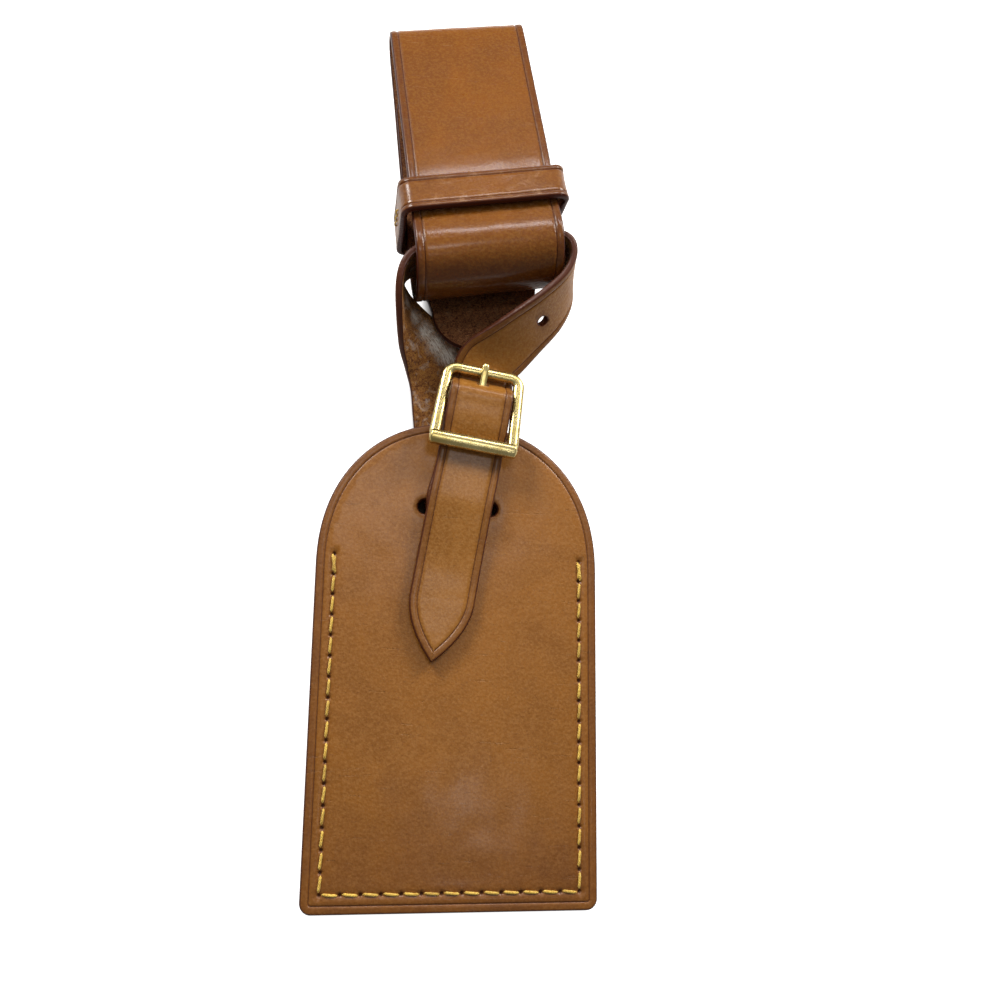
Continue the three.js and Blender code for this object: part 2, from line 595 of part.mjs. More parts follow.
const turned = (profile) => new THREE.LatheGeometry(profile.map(([r, z]) => new THREE.Vector2(r, z)), 24)
  .rotateX(Math.PI / 2).translate(snapAt.x, snapAt.y, 0);
const g0 = 0.06;
const capTop = backLow - g0;
add('snap_cap', turned([[0, capTop - 0.95], [SNAP_R - 1.6, capTop - 0.85], [SNAP_R - 0.3, capTop - 0.45],
  [SNAP_R, capTop], [1.5, capTop], [1.5, backHigh + 0.3], [0, backHigh + 0.3]]), BRASS);
add('snap_socket', turned([[1.6, backHigh + g0], [4.6, backHigh + g0], [4.6, backHigh + 0.9],
  [4.0, backHigh + 1.2], [2.9, backHigh + 1.2], [2.9, backHigh + 0.4], [1.6, backHigh + 0.4], [1.6, backHigh + g0]]), BRASS);
add('snap_stud', turned([[0, backHigh + 0.5], [2.2, backHigh + 0.55], [2.6, backHigh + 0.9], [2.1, backHigh + 1.4],
  [4.4, backHigh + 1.4], [4.4, innerLow - g0], [0, innerLow - g0]]), BRASS);
add('snap_post', turned([[0, innerLow], [1.5, innerLow], [1.5, innerHigh + g0], [4.2, innerHigh + g0],
  [4.0, innerHigh + 0.45], [3.0, innerHigh + 0.7], [0, innerHigh + 0.7]]), BRASS);

// ---- Keeper ----
const topLineZ = (a) => {
  // Outer face of the front layer above position a.
  const z0 = LOOP_Z + NEAR_R * Math.cos(slopeTop);
  const a0 = NEAR_R * Math.sin(slopeTop);
  return z0 - (a - a0) * Math.tan(slopeTop) + LOOP_T / 2 / Math.cos(slopeTop);
};
const keeperTop = topLineZ(KEEPER_A) + 0.3 + KEEPER_T / 2;
const keeperLow = backZ(KEEPER_A) - LOOP_T / 2 - 0.12 - KEEPER_T / 2;
const side = KEEPER_IN / 2 + KEEPER_T / 2;
const topDir = la.clone().multiplyScalar(Math.cos(slopeTop)).addScaledVector(ez, -Math.sin(slopeTop));
const lowDir = la.clone().addScaledVector(ez, -(BACK_Z - farBottom) / (LOOP_L - 4)).normalize();
const ring = [];
const ringAt = (w, z) => {
  const f = (z - keeperLow) / (keeperTop - keeperLow);
  ring.push({ p: K(w, KEEPER_A, z), w: lowDir.clone().lerp(topDir, f ** 2), h: KEEPER_W / 2, t: KEEPER_T });
};
const cornerPoints = (cw, cz, from) => {
  for (let i = 0; i <= 4; i += 1) {
    const a = from + (Math.PI / 2) * i / 4;
    ringAt(cw + KEEPER_R * Math.cos(a), cz + KEEPER_R * Math.sin(a));
  }
};
cornerPoints(side - KEEPER_R, keeperTop - KEEPER_R, 0);
ringAt(6, keeperTop);
ringAt(-6, keeperTop);
cornerPoints(-side + KEEPER_R, keeperTop - KEEPER_R, Math.PI / 2);
ringAt(-side, (keeperTop + keeperLow) / 2);
cornerPoints(-side + KEEPER_R, keeperLow + KEEPER_R, Math.PI);
ringAt(-6, keeperLow);
ringAt(6, keeperLow);
cornerPoints(side - KEEPER_R, keeperLow + KEEPER_R, 1.5 * Math.PI);
ringAt(side, (keeperTop + keeperLow) / 2);
const bandSamples = sampleStations(ring, 4.0, true);
let band = toManifold(strip(bandSamples, true));
// Closing stitches up the left wall.
const stitchW = -side;
const stitchA = KEEPER_A;
const wallZ = [7.4, 10.2, 13.0, 15.8];
const keeperBasis = frameMatrix(lw, la.clone(), ez, V(0, 0, 0));
for (const z of wallZ) {
  const m = keeperBasis.clone().setPosition(K(stitchW, stitchA, z));
  band = band.subtract(box(4, 0.9, 0.9, m));
}
add('keeper', toGeometry(band), BROWN);
const wallPath = [];
wallZ.forEach((z, i) => {
  const out = -KEEPER_T / 2 - 0.24;
  const inn = KEEPER_T / 2 + 0.24;
  const ws = i % 2 === 0 ? [inn, out] : [out, inn];
  for (const w of ws) wallPath.push(K(stitchW + w, stitchA, z));
});
add('keeper_thread', yarn(wallPath, () => la, 0.36), YARN);

// Origin: centre of the whole tag's footprint, at the surface it lies on.
const whole = new THREE.Box3().setFromObject(group);
const middle = whole.getCenter(V(0, 0, 0));
for (const mesh of group.children) mesh.geometry.translate(-middle.x, -middle.y, -whole.min.z);

export default group;
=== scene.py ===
"""Leather luggage tag: pocket, belt strap with buckle, keeper and wide handle loop, lying on its back."""

import math
import random

import bmesh
import bpy
from mathutils import Matrix, Vector, noise
from mathutils.geometry import delaunay_2d_cdt


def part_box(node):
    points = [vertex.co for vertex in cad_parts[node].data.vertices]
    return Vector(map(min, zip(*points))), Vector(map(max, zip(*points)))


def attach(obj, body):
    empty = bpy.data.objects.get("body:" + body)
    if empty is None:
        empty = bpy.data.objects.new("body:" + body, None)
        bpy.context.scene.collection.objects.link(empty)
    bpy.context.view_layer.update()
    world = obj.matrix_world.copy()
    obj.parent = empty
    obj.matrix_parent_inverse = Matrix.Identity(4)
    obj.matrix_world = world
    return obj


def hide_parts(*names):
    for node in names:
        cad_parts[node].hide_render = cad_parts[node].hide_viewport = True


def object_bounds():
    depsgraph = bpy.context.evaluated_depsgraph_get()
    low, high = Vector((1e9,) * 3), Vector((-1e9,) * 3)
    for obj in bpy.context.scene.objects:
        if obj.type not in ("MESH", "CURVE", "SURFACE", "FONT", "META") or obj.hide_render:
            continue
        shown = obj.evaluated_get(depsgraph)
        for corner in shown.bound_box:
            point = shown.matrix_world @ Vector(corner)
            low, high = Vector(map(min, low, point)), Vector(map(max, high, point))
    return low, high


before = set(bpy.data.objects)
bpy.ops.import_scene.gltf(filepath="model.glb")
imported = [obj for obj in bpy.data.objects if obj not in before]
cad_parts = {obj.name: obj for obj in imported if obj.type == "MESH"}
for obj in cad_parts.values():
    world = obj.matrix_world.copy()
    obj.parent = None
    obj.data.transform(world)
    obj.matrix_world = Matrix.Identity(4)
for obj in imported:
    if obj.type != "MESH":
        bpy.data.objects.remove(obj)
cad_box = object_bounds()
rng = random.Random(7)
MM = 0.001

# ---- Sizes in millimetres, in the part's own coordinates ----
TAG_W = 65.0
TAG_H = 109.6
ARCH_H = 34.8
ARCH_POWER = 2.21
CORNER_R = 2.5
PANEL_T = 1.6
POCKET_GAP = 0.5
TAG_T = 2 * PANEL_T + POCKET_GAP
TAG_TILT = math.radians(1.5)
SLOT_X = -0.45
SLOT_Y = 89.2
SLOT_L = 18.6
SLOT_W = 3.3
SEAM_INSET = 4.1
SEAM_TOP = 77.5
STITCH = 4.45
CREASE_INSET = 1.9

STRAP_HALF = 7.5
STRAP_T = 1.8
SKIVED_T = 1.0
HOLE_R = 1.4
PUNCHED_BACK = (25.8, 49.8)
TAPER_L = 14.5
LEAN = math.radians(8.5)

FRAME_X = 3.4
FRAME_Y = 111.8
FRAME_TOP_W = 19.8
FRAME_BOTTOM_W = 20.8
RAIL_HALF = 1.25
LOWER_BAR_R = 1.45
BAR_END = 0.75
BAR_SWELL = 1.2
UPPER_BAR_Y = 9.6
LOWER_BAR_Y = -9.0
UPPER_BAR_Z = 9.7
LOWER_BAR_Z = 12.55
CENTRE_BAR_Y = 1.0
CENTRE_BAR_Z = 9.0
CENTRE_BAR_R = 0.8
PRONG_HALF = 0.9
PRONG_T = 0.9
PRONG_TIP = 11.5

LOOP_HALF = 17.6
LOOP_T = 1.9
LOOP_X = 4.0
LOOP_Y = 149.9
LOOP_Z = 14.35
WIDTH_ANGLE = math.radians(11.0)
AXIS_ANGLE = math.radians(6.1)
NEAR_R = 8.85
FAR_R = 2.9
LOOP_L = 64.5
FAR_Z = 4.1
BACK_Z = 3.3
INNER_END = 50.0
TAB_L = 21.6
TAB_HALF = 13.0
TAB_ROUND = 11.5
SNAP_A = 40.0
SNAP_R = 5.8
SNAP_GAP = 2.0

KEEPER_HALF = 4.8
KEEPER_T = 1.7
KEEPER_IN = 37.0
KEEPER_A = 12.6
KEEPER_R = 2.3
KEEPER_PRESS = 0.9

FLOOR_GLOW = 0.9
CAMERA_LENS = 36.0
CAMERA_AT = (-26.14, 39.45, 232.73)
CAMERA_TURNS = (12.9, -8.7, 2.5)

# The part's coordinates start at the pocket's bottom edge; the frame's start at the footprint's middle.
panel_low, panel_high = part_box("back_panel")
SHIFT_Y = panel_low.y / MM + PANEL_T * math.sin(TAG_TILT)
SHIFT_Z = panel_low.z / MM


def place(p):
    """A point in the part's millimetres, as metres in the frame."""
    return Vector((p.x * MM, (p.y + SHIFT_Y) * MM, (p.z + SHIFT_Z) * MM))


def V(x, y, z):
    return Vector((x, y, z))


def tag_point(x, y, z):
    c = math.cos(TAG_TILT)
    s = math.sin(TAG_TILT)
    return V(x, y * c - z * s, y * s + z * c)


EX = V(math.cos(LEAN), -math.sin(LEAN), 0)
EY = V(math.sin(LEAN), math.cos(LEAN), 0)
EZ = V(0, 0, 1)
LOOP_ACROSS = V(math.cos(WIDTH_ANGLE), math.sin(WIDTH_ANGLE), 0)
LOOP_ALONG = V(-math.sin(AXIS_ANGLE), math.cos(AXIS_ANGLE), 0)


def at_buckle(x, y, z):
    p = V(FRAME_X, FRAME_Y, 0) + EX * x + EY * y
    return V(p.x, p.y, z)


def at_loop(across, along, z):
    p = V(LOOP_X, LOOP_Y, 0) + LOOP_ACROSS * across + LOOP_ALONG * along
    return V(p.x, p.y, z)


def rail_z(y):
    """Height of the buckle frame's middle at y."""
    slope = (UPPER_BAR_Z - LOWER_BAR_Z) / (UPPER_BAR_Y - LOWER_BAR_Y)
    return LOWER_BAR_Z + slope * (y - LOWER_BAR_Y)


# ---- Meshes ----
def new_piece(name, points, faces, material, smooth=True):
    mesh = bpy.data.meshes.new(name)
    mesh.from_pydata([tuple(place(p)) for p in points], [], faces)
    mesh.materials.append(material)
    mesh.polygons.foreach_set("use_smooth", [smooth] * len(mesh.polygons))
    mesh.update()
    piece = bpy.data.objects.new(name, mesh)
    bpy.context.collection.objects.link(piece)
    return piece


def store(piece, name, values):
    layer = piece.data.attributes.new(name, "FLOAT", "POINT")
    layer.data.foreach_set("value", values)


def store_uv(piece, coordinates):
    """One texture coordinate per vertex: distance along and across, in centimetres."""
    layer = piece.data.uv_layers.new(name="leather")
    flat = []
    for loop in piece.data.loops:
        flat.extend(coordinates[loop.vertex_index])
    layer.data.foreach_set("uv", flat)


def applied(piece):
    """The piece with its modifiers made permanent."""
    dg = bpy.context.evaluated_depsgraph_get()
    mesh = bpy.data.meshes.new_from_object(piece.evaluated_get(dg), depsgraph=dg)
    old = piece.data
    piece.modifiers.clear()
    piece.data = mesh
    mesh.name = piece.name
    bpy.data.meshes.remove(old)
    return piece


def smooth_step(x, low, high):
    t = max(0.0, min(1.0, (x - low) / (high - low)))
    return t * t * (3 - 2 * t)


# ---- Shader building ----
def tree_of(material):
    material.use_nodes = True
    tree = material.node_tree
    shader = tree.nodes["Principled BSDF"]
    return tree, shader


def wire(tree, source, target):
    tree.links.new(source, target)


def node(tree, kind, **settings):
    n = tree.nodes.new(kind)
    for key, value in settings.items():
        setattr(n, key, value)
    return n


def math_node(tree, operation, a, b=None, clamp=False):
    n = node(tree, "ShaderNodeMath", operation=operation, use_clamp=clamp)
    for i, value in enumerate((a, b)):
        if value is None:
            continue
        if isinstance(value, (int, float)):
            n.inputs[i].default_value = value
        else:
            wire(tree, value, n.inputs[i])
    return n.outputs[0]


def mix_colour(tree, factor, a, b, blend="MIX"):
    n = node(tree, "ShaderNodeMix", data_type="RGBA", blend_type=blend)
    for socket, value in ((n.inputs[0], factor), (n.inputs[6], a), (n.inputs[7], b)):
        if isinstance(value, (int, float)):
            socket.default_value = value
        elif isinstance(value, tuple):
            socket.default_value = value
        else:
            wire(tree, value, socket)
    return n.outputs[2]


def spread(tree, value, low, high, to_low=0.0, to_high=1.0):
    n = node(tree, "ShaderNodeMapRange", interpolation_type="SMOOTHSTEP")
    wire(tree, value, n.inputs[0])
    for i, limit in enumerate((low, high, to_low, to_high)):
        n.inputs[i + 1].default_value = limit
    return n.outputs[0]


def noise_at(tree, vector, scale, detail=3.0, rough=0.55, distortion=0.0):
    n = node(tree, "ShaderNodeTexNoise")
    wire(tree, vector, n.inputs["Vector"])
    n.inputs["Scale"].default_value = scale
    n.inputs["Detail"].default_value = detail
    n.inputs["Roughness"].default_value = rough
    n.inputs["Distortion"].default_value = distortion
    return n.outputs["Fac"]


def linear(hexa):
    """A colour written as on screen, as linear light."""
    out = []
    for i in (0, 2, 4):
        c = int(hexa[i:i + 2], 16) / 255
        out.append(c / 12.92 if c <= 0.04045 else ((c + 0.055) / 1.055) ** 2.4)
    return (*out, 1.0)


def new_group(name, inputs, outputs):
    tree = bpy.data.node_groups.new(name, "ShaderNodeTree")
    for label, kind, value in inputs:
        socket = tree.interface.new_socket(label, in_out="INPUT", socket_type=kind)
        socket.default_value = value
    for label, kind in outputs:
        tree.interface.new_socket(label, in_out="OUTPUT", socket_type=kind)
    return tree, node(tree, "NodeGroupInput"), node(tree, "NodeGroupOutput")


def leather_group():
    """Vegetable-tanned leather: grain, mottling, handling marks with painted sheen, burnished edge with
    painted shade, crease and flesh side.
    """
    colour = "NodeSocketColor"
    value = "NodeSocketFloat"
    tree, given, out = new_group("leather_surface", [
        ("Tan", colour, linear("A86E3A")),
        ("Deep", colour, linear("8A4F20")),
        ("Pale", colour, linear("C08A55")),
        ("Burnish And Shade", colour, linear("4A2412")),
        ("Flesh", colour, linear("7A5234")),
        ("Fuzz And Sheen", colour, linear("B9A893")),
        ("Grain Scale", value, 1500.0),
        ("Mottle Scale", value, 60.0),
        ("Gloss", value, 0.36),
        ("Shine", value, 0.22),
    ], [("Color", colour), ("Roughness", value), ("Height", value), ("Polish", value)])
    where = node(tree, "ShaderNodeTexCoord").outputs["Object"]

    def attribute(name):
        return node(tree, "ShaderNodeAttribute", attribute_name=name).outputs["Fac"]

    edge = attribute("edge")
    crease = attribute("crease")
    flesh = attribute("flesh")
    wear_and_sheen = attribute("wear_and_sheen")
    edge_dark_and_shade = attribute("edge_dark_and_shade")
    # Grain: small closed cells broken by finer pores.
    cells = node(tree, "ShaderNodeTexVoronoi", feature="SMOOTH_F1")
    wire(tree, where, cells.inputs["Vector"])
    wire(tree, given.outputs["Grain Scale"], cells.inputs["Scale"])
    cells.inputs["Smoothness"].default_value = 0.6
    fine = noise_at(tree, where, 3200.0, 2.0)
    coarse = noise_at(tree, where, 420.0, 4.0, 0.6)
    grain = math_node(tree, "MULTIPLY", cells.outputs["Distance"], 0.55)
    grain = math_node(tree, "ADD", grain, math_node(tree, "MULTIPLY", fine, 0.25))
    grain = math_node(tree, "ADD", grain, math_node(tree, "MULTIPLY", coarse, 0.6))
    # Broad and middle mottling.
    mottle = node(tree, "ShaderNodeTexNoise")
    wire(tree, where, mottle.inputs["Vector"])
    wire(tree, given.outputs["Mottle Scale"], mottle.inputs["Scale"])
    mottle.inputs["Detail"].default_value = 5.0
    mottle.inputs["Roughness"].default_value = 0.62
    mottle.inputs["Distortion"].default_value = 0.4
    broad = spread(tree, mottle.outputs["Fac"], 0.34, 0.68)
    speck = spread(tree, noise_at(tree, where, 1400.0, 3.0, 0.75), 0.42, 0.62)
    pores = spread(tree, noise_at(tree, where, 2300.0, 1.0), 0.60, 0.72)
    body = mix_colour(tree, broad, given.outputs["Deep"], given.outputs["Tan"])
    lift = math_node(tree, "MULTIPLY", speck, 0.48)
    body = mix_colour(tree, lift, body, given.outputs["Pale"])
    body = mix_colour(tree, math_node(tree, "MULTIPLY", pores, 0.22), body, given.outputs["Burnish And Shade"])
    # Fine scratches that run both ways.
    marks = node(tree, "ShaderNodeMapping")
    wire(tree, where, marks.inputs["Vector"])
    marks.inputs["Rotation"].default_value = (0.0, 0.0, 0.6)
    marks.inputs["Scale"].default_value = (1.0, 14.0, 1.0)
    scratch = spread(tree, noise_at(tree, marks.outputs[0], 90.0, 4.0, 0.7), 0.64, 0.72)
    body = mix_colour(tree, math_node(tree, "MULTIPLY", scratch, 0.25), body, given.outputs["Pale"])
    # Darker towards the edge, dark in the crease; the same darkening mask also carries painted shade on the
    # loop's lower fold, the tag's lower part, the needle dimples and round the strap's holes.
    soften = noise_at(tree, where, 250.0, 3.0)
    near = math_node(tree, "MULTIPLY", edge_dark_and_shade, math_node(tree, "ADD", soften, 0.25), True)
    body = mix_colour(tree, math_node(tree, "MULTIPLY", near, 0.55), body, given.outputs["Burnish And Shade"])
    body = mix_colour(tree, spread(tree, crease, 0.15, 0.85, 0.0, 0.82), body, given.outputs["Burnish And Shade"])
    # Flesh side: short fibres, pale where they have lifted.
    fibre = noise_at(tree, where, 1300.0, 5.0, 0.75, 1.5)
    nap = noise_at(tree, where, 330.0, 4.0, 0.65, 0.8)
    flesh_colour = given.outputs["Flesh"]
    dull = mix_colour(tree, spread(tree, fibre, 0.35, 0.62), given.outputs["Burnish And Shade"], flesh_colour)
    pale = math_node(tree, "MULTIPLY", spread(tree, nap, 0.52, 0.74), 0.35)
    dull = mix_colour(tree, pale, dull, given.outputs["Fuzz And Sheen"])
    lie = node(tree, "ShaderNodeMapping")
    wire(tree, node(tree, "ShaderNodeUVMap", uv_map="leather").outputs[0], lie.inputs["Vector"])
    lie.inputs["Scale"].default_value = (1.0, 3.6, 1.0)
    strand = spread(tree, noise_at(tree, lie.outputs[0], 9.0, 4.0, 0.7, 0.6), 0.40, 0.58)
    tuft = math_node(tree, "MULTIPLY", wear_and_sheen, math_node(tree, "ADD", strand, 0.45), True)
    tuft = math_node(tree, "MULTIPLY", tuft, spread(tree, fibre, 0.14, 0.40))
    dull = mix_colour(tree, tuft, dull, given.outputs["Fuzz And Sheen"])
    # Pale rubbed patches: real wear on the strap, and on the loop and keeper scuffs with painted sheen.
    rubbed_and_sheen = spread(tree, noise_at(tree, where, 620.0, 5.0, 0.8, 0.6), 0.47, 0.62)
    rubbed_and_sheen = math_node(tree, "MULTIPLY", rubbed_and_sheen, wear_and_sheen)
    body = mix_colour(tree, math_node(tree, "MULTIPLY", rubbed_and_sheen, 0.5), body, given.outputs["Fuzz And Sheen"])
    body = mix_colour(tree, flesh, body, dull)
    # Painted edge.
    body = mix_colour(tree, spread(tree, edge, 0.35, 0.8), body, given.outputs["Burnish And Shade"])
    wire(tree, body, out.inputs["Color"])
    rough = math_node(tree, "ADD", given.outputs["Gloss"], math_node(tree, "MULTIPLY", coarse, 0.16))
    rough = math_node(tree, "ADD", rough, math_node(tree, "MULTIPLY", broad, -0.06))
    rough = math_node(tree, "ADD", rough, math_node(tree, "MULTIPLY", scratch, 0.12))
    rough = math_node(tree, "ADD", rough, math_node(tree, "MULTIPLY", flesh, 0.5), True)
    wire(tree, rough, out.inputs["Roughness"])
    # The waxed grain side shines; the flesh side, the painted edge and the scratches don't.
    dull_parts = math_node(tree, "MAXIMUM", flesh, math_node(tree, "MAXIMUM", crease, edge))
    polish = math_node(tree, "SUBTRACT", 1.0, dull_parts, True)
    polish = math_node(tree, "MULTIPLY", polish, spread(tree, fine, 0.30, 0.62, 0.35, 1.0))
    wire(tree, math_node(tree, "MULTIPLY", polish, given.outputs["Shine"]), out.inputs["Polish"])
    rough_side = math_node(tree, "MULTIPLY", flesh, math_node(tree, "ADD", fibre, nap))
    height = math_node(tree, "ADD", grain, math_node(tree, "MULTIPLY", rough_side, 3.5))
    height = math_node(tree, "ADD", height, math_node(tree, "MULTIPLY", scratch, -0.5))
    wire(tree, height, out.inputs["Height"])
    return tree


leather_surface = leather_group()


def add_relief(tree, shader, height, strength, distance):
    """A bump made from a height field, on the shader's normal."""
    relief = node(tree, "ShaderNodeBump")
    relief.inputs["Strength"].default_value = strength
    relief.inputs["Distance"].default_value = distance
    wire(tree, height, relief.inputs["Height"])
    wire(tree, relief.outputs[0], shader.inputs["Normal"])


def leather(name, bump, specular, values):
    material = bpy.data.materials.new(name)
    tree, shader = tree_of(material)
    surface = node(tree, "ShaderNodeGroup", node_tree=leather_surface)
    for key, value in values.items():
        surface.inputs[key].default_value = value
    wire(tree, surface.outputs["Color"], shader.inputs["Base Color"])
    wire(tree, surface.outputs["Roughness"], shader.inputs["Roughness"])
    add_relief(tree, shader, surface.outputs["Height"], bump, 0.0001)
    shader.inputs["Specular IOR Level"].default_value = specular
    wire(tree, surface.outputs["Polish"], shader.inputs["Coat Weight"])
    shader.inputs["Coat Roughness"].default_value = 0.16
    return material


pocket_leather = leather("pocket_leather", 1.0, 0.32, {
    "Tan": linear("8E5816"), "Deep": linear("7F4D10"), "Pale": linear("9C6A32"),
    "Burnish And Shade": linear("4E2410"), "Flesh": linear("6E4B30"), "Gloss": 0.38})
strap_leather = leather("strap_leather", 0.9, 0.26, {
    "Tan": linear("905C1B"), "Deep": linear("815011"), "Pale": linear("A07038"),
    "Burnish And Shade": linear("4E2410"), "Flesh": linear("A57138"), "Fuzz And Sheen": linear("F2E8DC"), "Gloss": 0.38})
loop_leather = leather("loop_leather", 1.0, 0.17, {
    "Tan": linear("77430D"), "Deep": linear("693907"), "Pale": linear("87591F"),
    "Burnish And Shade": linear("431A0A"), "Flesh": linear("8C5E3A"), "Fuzz And Sheen": linear("A98460"),
    "Gloss": 0.28, "Shine": 0.5})


def brass(name, colour, rough, wear):
    material = bpy.data.materials.new(name)
    tree, shader = tree_of(material)
    where = node(tree, "ShaderNodeTexCoord").outputs["Object"]
    cloud = spread(tree, noise_at(tree, where, 260.0, 4.0, 0.6), 0.35, 0.70)
    tint = mix_colour(tree, cloud, linear(colour), linear(wear))
    wire(tree, tint, shader.inputs["Base Color"])
    hair = node(tree, "ShaderNodeMapping")
    wire(tree, where, hair.inputs["Vector"])
    hair.inputs["Scale"].default_value = (1.0, 9.0, 3.0)
    line = noise_at(tree, hair.outputs[0], 1500.0, 3.0, 0.7)
    rough_value = math_node(tree, "ADD", math_node(tree, "MULTIPLY", line, 0.10), rough - 0.05)
    rough_value = math_node(tree, "ADD", rough_value, math_node(tree, "MULTIPLY", cloud, 0.05))
    wire(tree, rough_value, shader.inputs["Roughness"])
    add_relief(tree, shader, math_node(tree, "ADD", line, noise_at(tree, where, 500.0)), 0.10, 0.00002)
    shader.inputs["Metallic"].default_value = 1.0
    return material


buckle_brass = brass("buckle_brass", "DCCA8E", 0.25, "BFA968")
snap_brass = brass("snap_brass", "D8BE7C", 0.24, "B99A58")


def waxed_thread():
    material = bpy.data.materials.new("waxed_thread")
    tree, shader = tree_of(material)
    where = node(tree, "ShaderNodeTexCoord").outputs["Object"]
    fibre = noise_at(tree, where, 2600.0, 4.0, 0.7)
    dirt = spread(tree, noise_at(tree, where, 160.0, 3.0), 0.40, 0.72)
    tint = mix_colour(tree, spread(tree, fibre, 0.3, 0.7), linear("C4952A"), linear("F8D662"))
    tint = mix_colour(tree, math_node(tree, "MULTIPLY", dirt, 0.45), tint, linear("8B6320"))
    wire(tree, tint, shader.inputs["Base Color"])
    shader.inputs["Roughness"].default_value = 0.55
    shader.inputs["Sheen Weight"].default_value = 0.25
    add_relief(tree, shader, fibre, 0.5, 0.00005)
    return material


def card_stock():
    material = bpy.data.materials.new("card_stock")
    tree, shader = tree_of(material)
    where = node(tree, "ShaderNodeTexCoord").outputs["Object"]
    pulp = noise_at(tree, where, 1800.0, 5.0, 0.7)
    tint = mix_colour(tree, pulp, linear("EDE8DA"), linear("F8F5EC"))
    wire(tree, tint, shader.inputs["Base Color"])
    shader.inputs["Roughness"].default_value = 0.8
    add_relief(tree, shader, pulp, 0.2, 0.00003)
    return material


thread = waxed_thread()
card = card_stock()


# ---- Leather strips ----
def catmull(points, closed):
    """Hermite pieces of a centripetal curve through points."""
    count = len(points)
    spans = count if closed else count - 1
    pieces = []
    for i in range(spans):
        b = points[i]
        c = points[(i + 1) % count]
        a = points[i - 1] if closed or i > 0 else b * 2 - c
        d = points[(i + 2) % count] if closed or i + 2 < count else c * 2 - b
        d0 = math.sqrt((b - a).length)
        d1 = math.sqrt((c - b).length)
        d2 = math.sqrt((d - c).length)
        t1 = ((b - a) / d0 - (c - a) / (d0 + d1) + (c - b) / d1) * d1
        t2 = ((c - b) / d1 - (d - b) / (d1 + d2) + (d - c) / d2) * d1
        pieces.append((b, t1, (c - b) * 3 - t1 * 2 - t2, (b - c) * 2 + t1 + t2))
    return pieces


def sample_route(stations, step, closed=False):
    """Points along a strip: centre, direction, across, half width, thickness, distance."""
    pieces = catmull([s[0] for s in stations], closed)
    out = []
    travelled = 0.0
    for i, (p0, p1, p2, p3) in enumerate(pieces):
        a = stations[i]
        b = stations[(i + 1) % len(stations)]
        n = max(2, round((b[0] - a[0]).length / step))
        last = n + 1 if not closed and i == len(pieces) - 1 else n
        for k in range(last):
            f = k / n
            here = p0 + p1 * f + p2 * f * f + p3 * f ** 3
            way = (p1 + p2 * 2 * f + p3 * 3 * f * f).normalized()
            across = a[1].lerp(b[1], f)
            across = (across - way * across.dot(way)).normalized()
            if out:
                travelled += (here - out[-1][0]).length
            half = a[2] + (b[2] - a[2]) * f
            thick = a[3] + (b[3] - a[3]) * f
            out.append((here, way, across, half, thick, travelled))
    return out


def relaxed(route, first, last, reach):
    """Ease out kinks between two distances, as leather does where nothing holds it."""
    out = []
    for here, way, across, half, thick, travelled in route:
        hold = smooth_step(travelled, first, first + 6) * (1 - smooth_step(travelled, last - 6, last))
        if hold > 0:
            centre = Vector()
            wide = Vector()
            total = 0.0
            wide_total = 0.0
            for other in route:
                gap = (other[5] - travelled) / reach
                if abs(gap) > 5:
                    continue
                weight = math.exp(-0.5 * gap * gap * 4)
                centre += other[0] * weight
                total += weight
                weight = math.exp(-0.5 * gap * gap)
                wide += other[2] * weight
                wide_total += weight
            here = here.lerp(centre / total, hold)
            across = across.lerp(wide / wide_total, hold)
        out.append([here, way, across, half, thick, travelled])
    for i, row in enumerate(out):
        row[1] = (out[min(i + 1, len(out) - 1)][0] - out[max(i - 1, 0)][0]).normalized()
        row[2] = (row[2] - row[1] * row[2].dot(row[1])).normalized()
    return out


def strip_profile(crease_inset, depth):
    """Half of a strip's section: (inset, height as a share of half thickness, sink, edge, crease)."""
    grain = [
        (0.00, 0.00, 0.0, 1.0, 0.0), (0.05, 0.42, 0.0, 1.0, 0.0), (0.17, 0.74, 0.0, 1.0, 0.0),
        (0.36, 0.90, 0.0, 0.6, 0.0), (0.65, 0.96, 0.0, 0.1, 0.0), (1.10, 1.00, 0.0, 0.0, 0.0),
        (crease_inset - 0.34, 0.99, 0.0, 0.0, 0.0), (crease_inset - 0.14, 0.97, 0.35 * depth, 0.0, 0.35),
        (crease_inset, 0.97, depth, 0.0, 1.0), (crease_inset + 0.14, 0.97, 0.35 * depth, 0.0, 0.35),
        (crease_inset + 0.36, 0.99, 0.0, 0.0, 0.0), (crease_inset + 0.9, 1.0, 0.0, 0.0, 0.0),
    ]
    flesh = [(0.05, -0.45, 0.0, 1.0, 0.0), (0.18, -0.78, 0.0, 0.9, 0.0), (0.42, -0.95, 0.0, 0.4, 0.0),
             (0.9, -1.0, 0.0, 0.0, 0.0), (1.9, -1.0, 0.0, 0.0, 0.0)]
    return grain, flesh


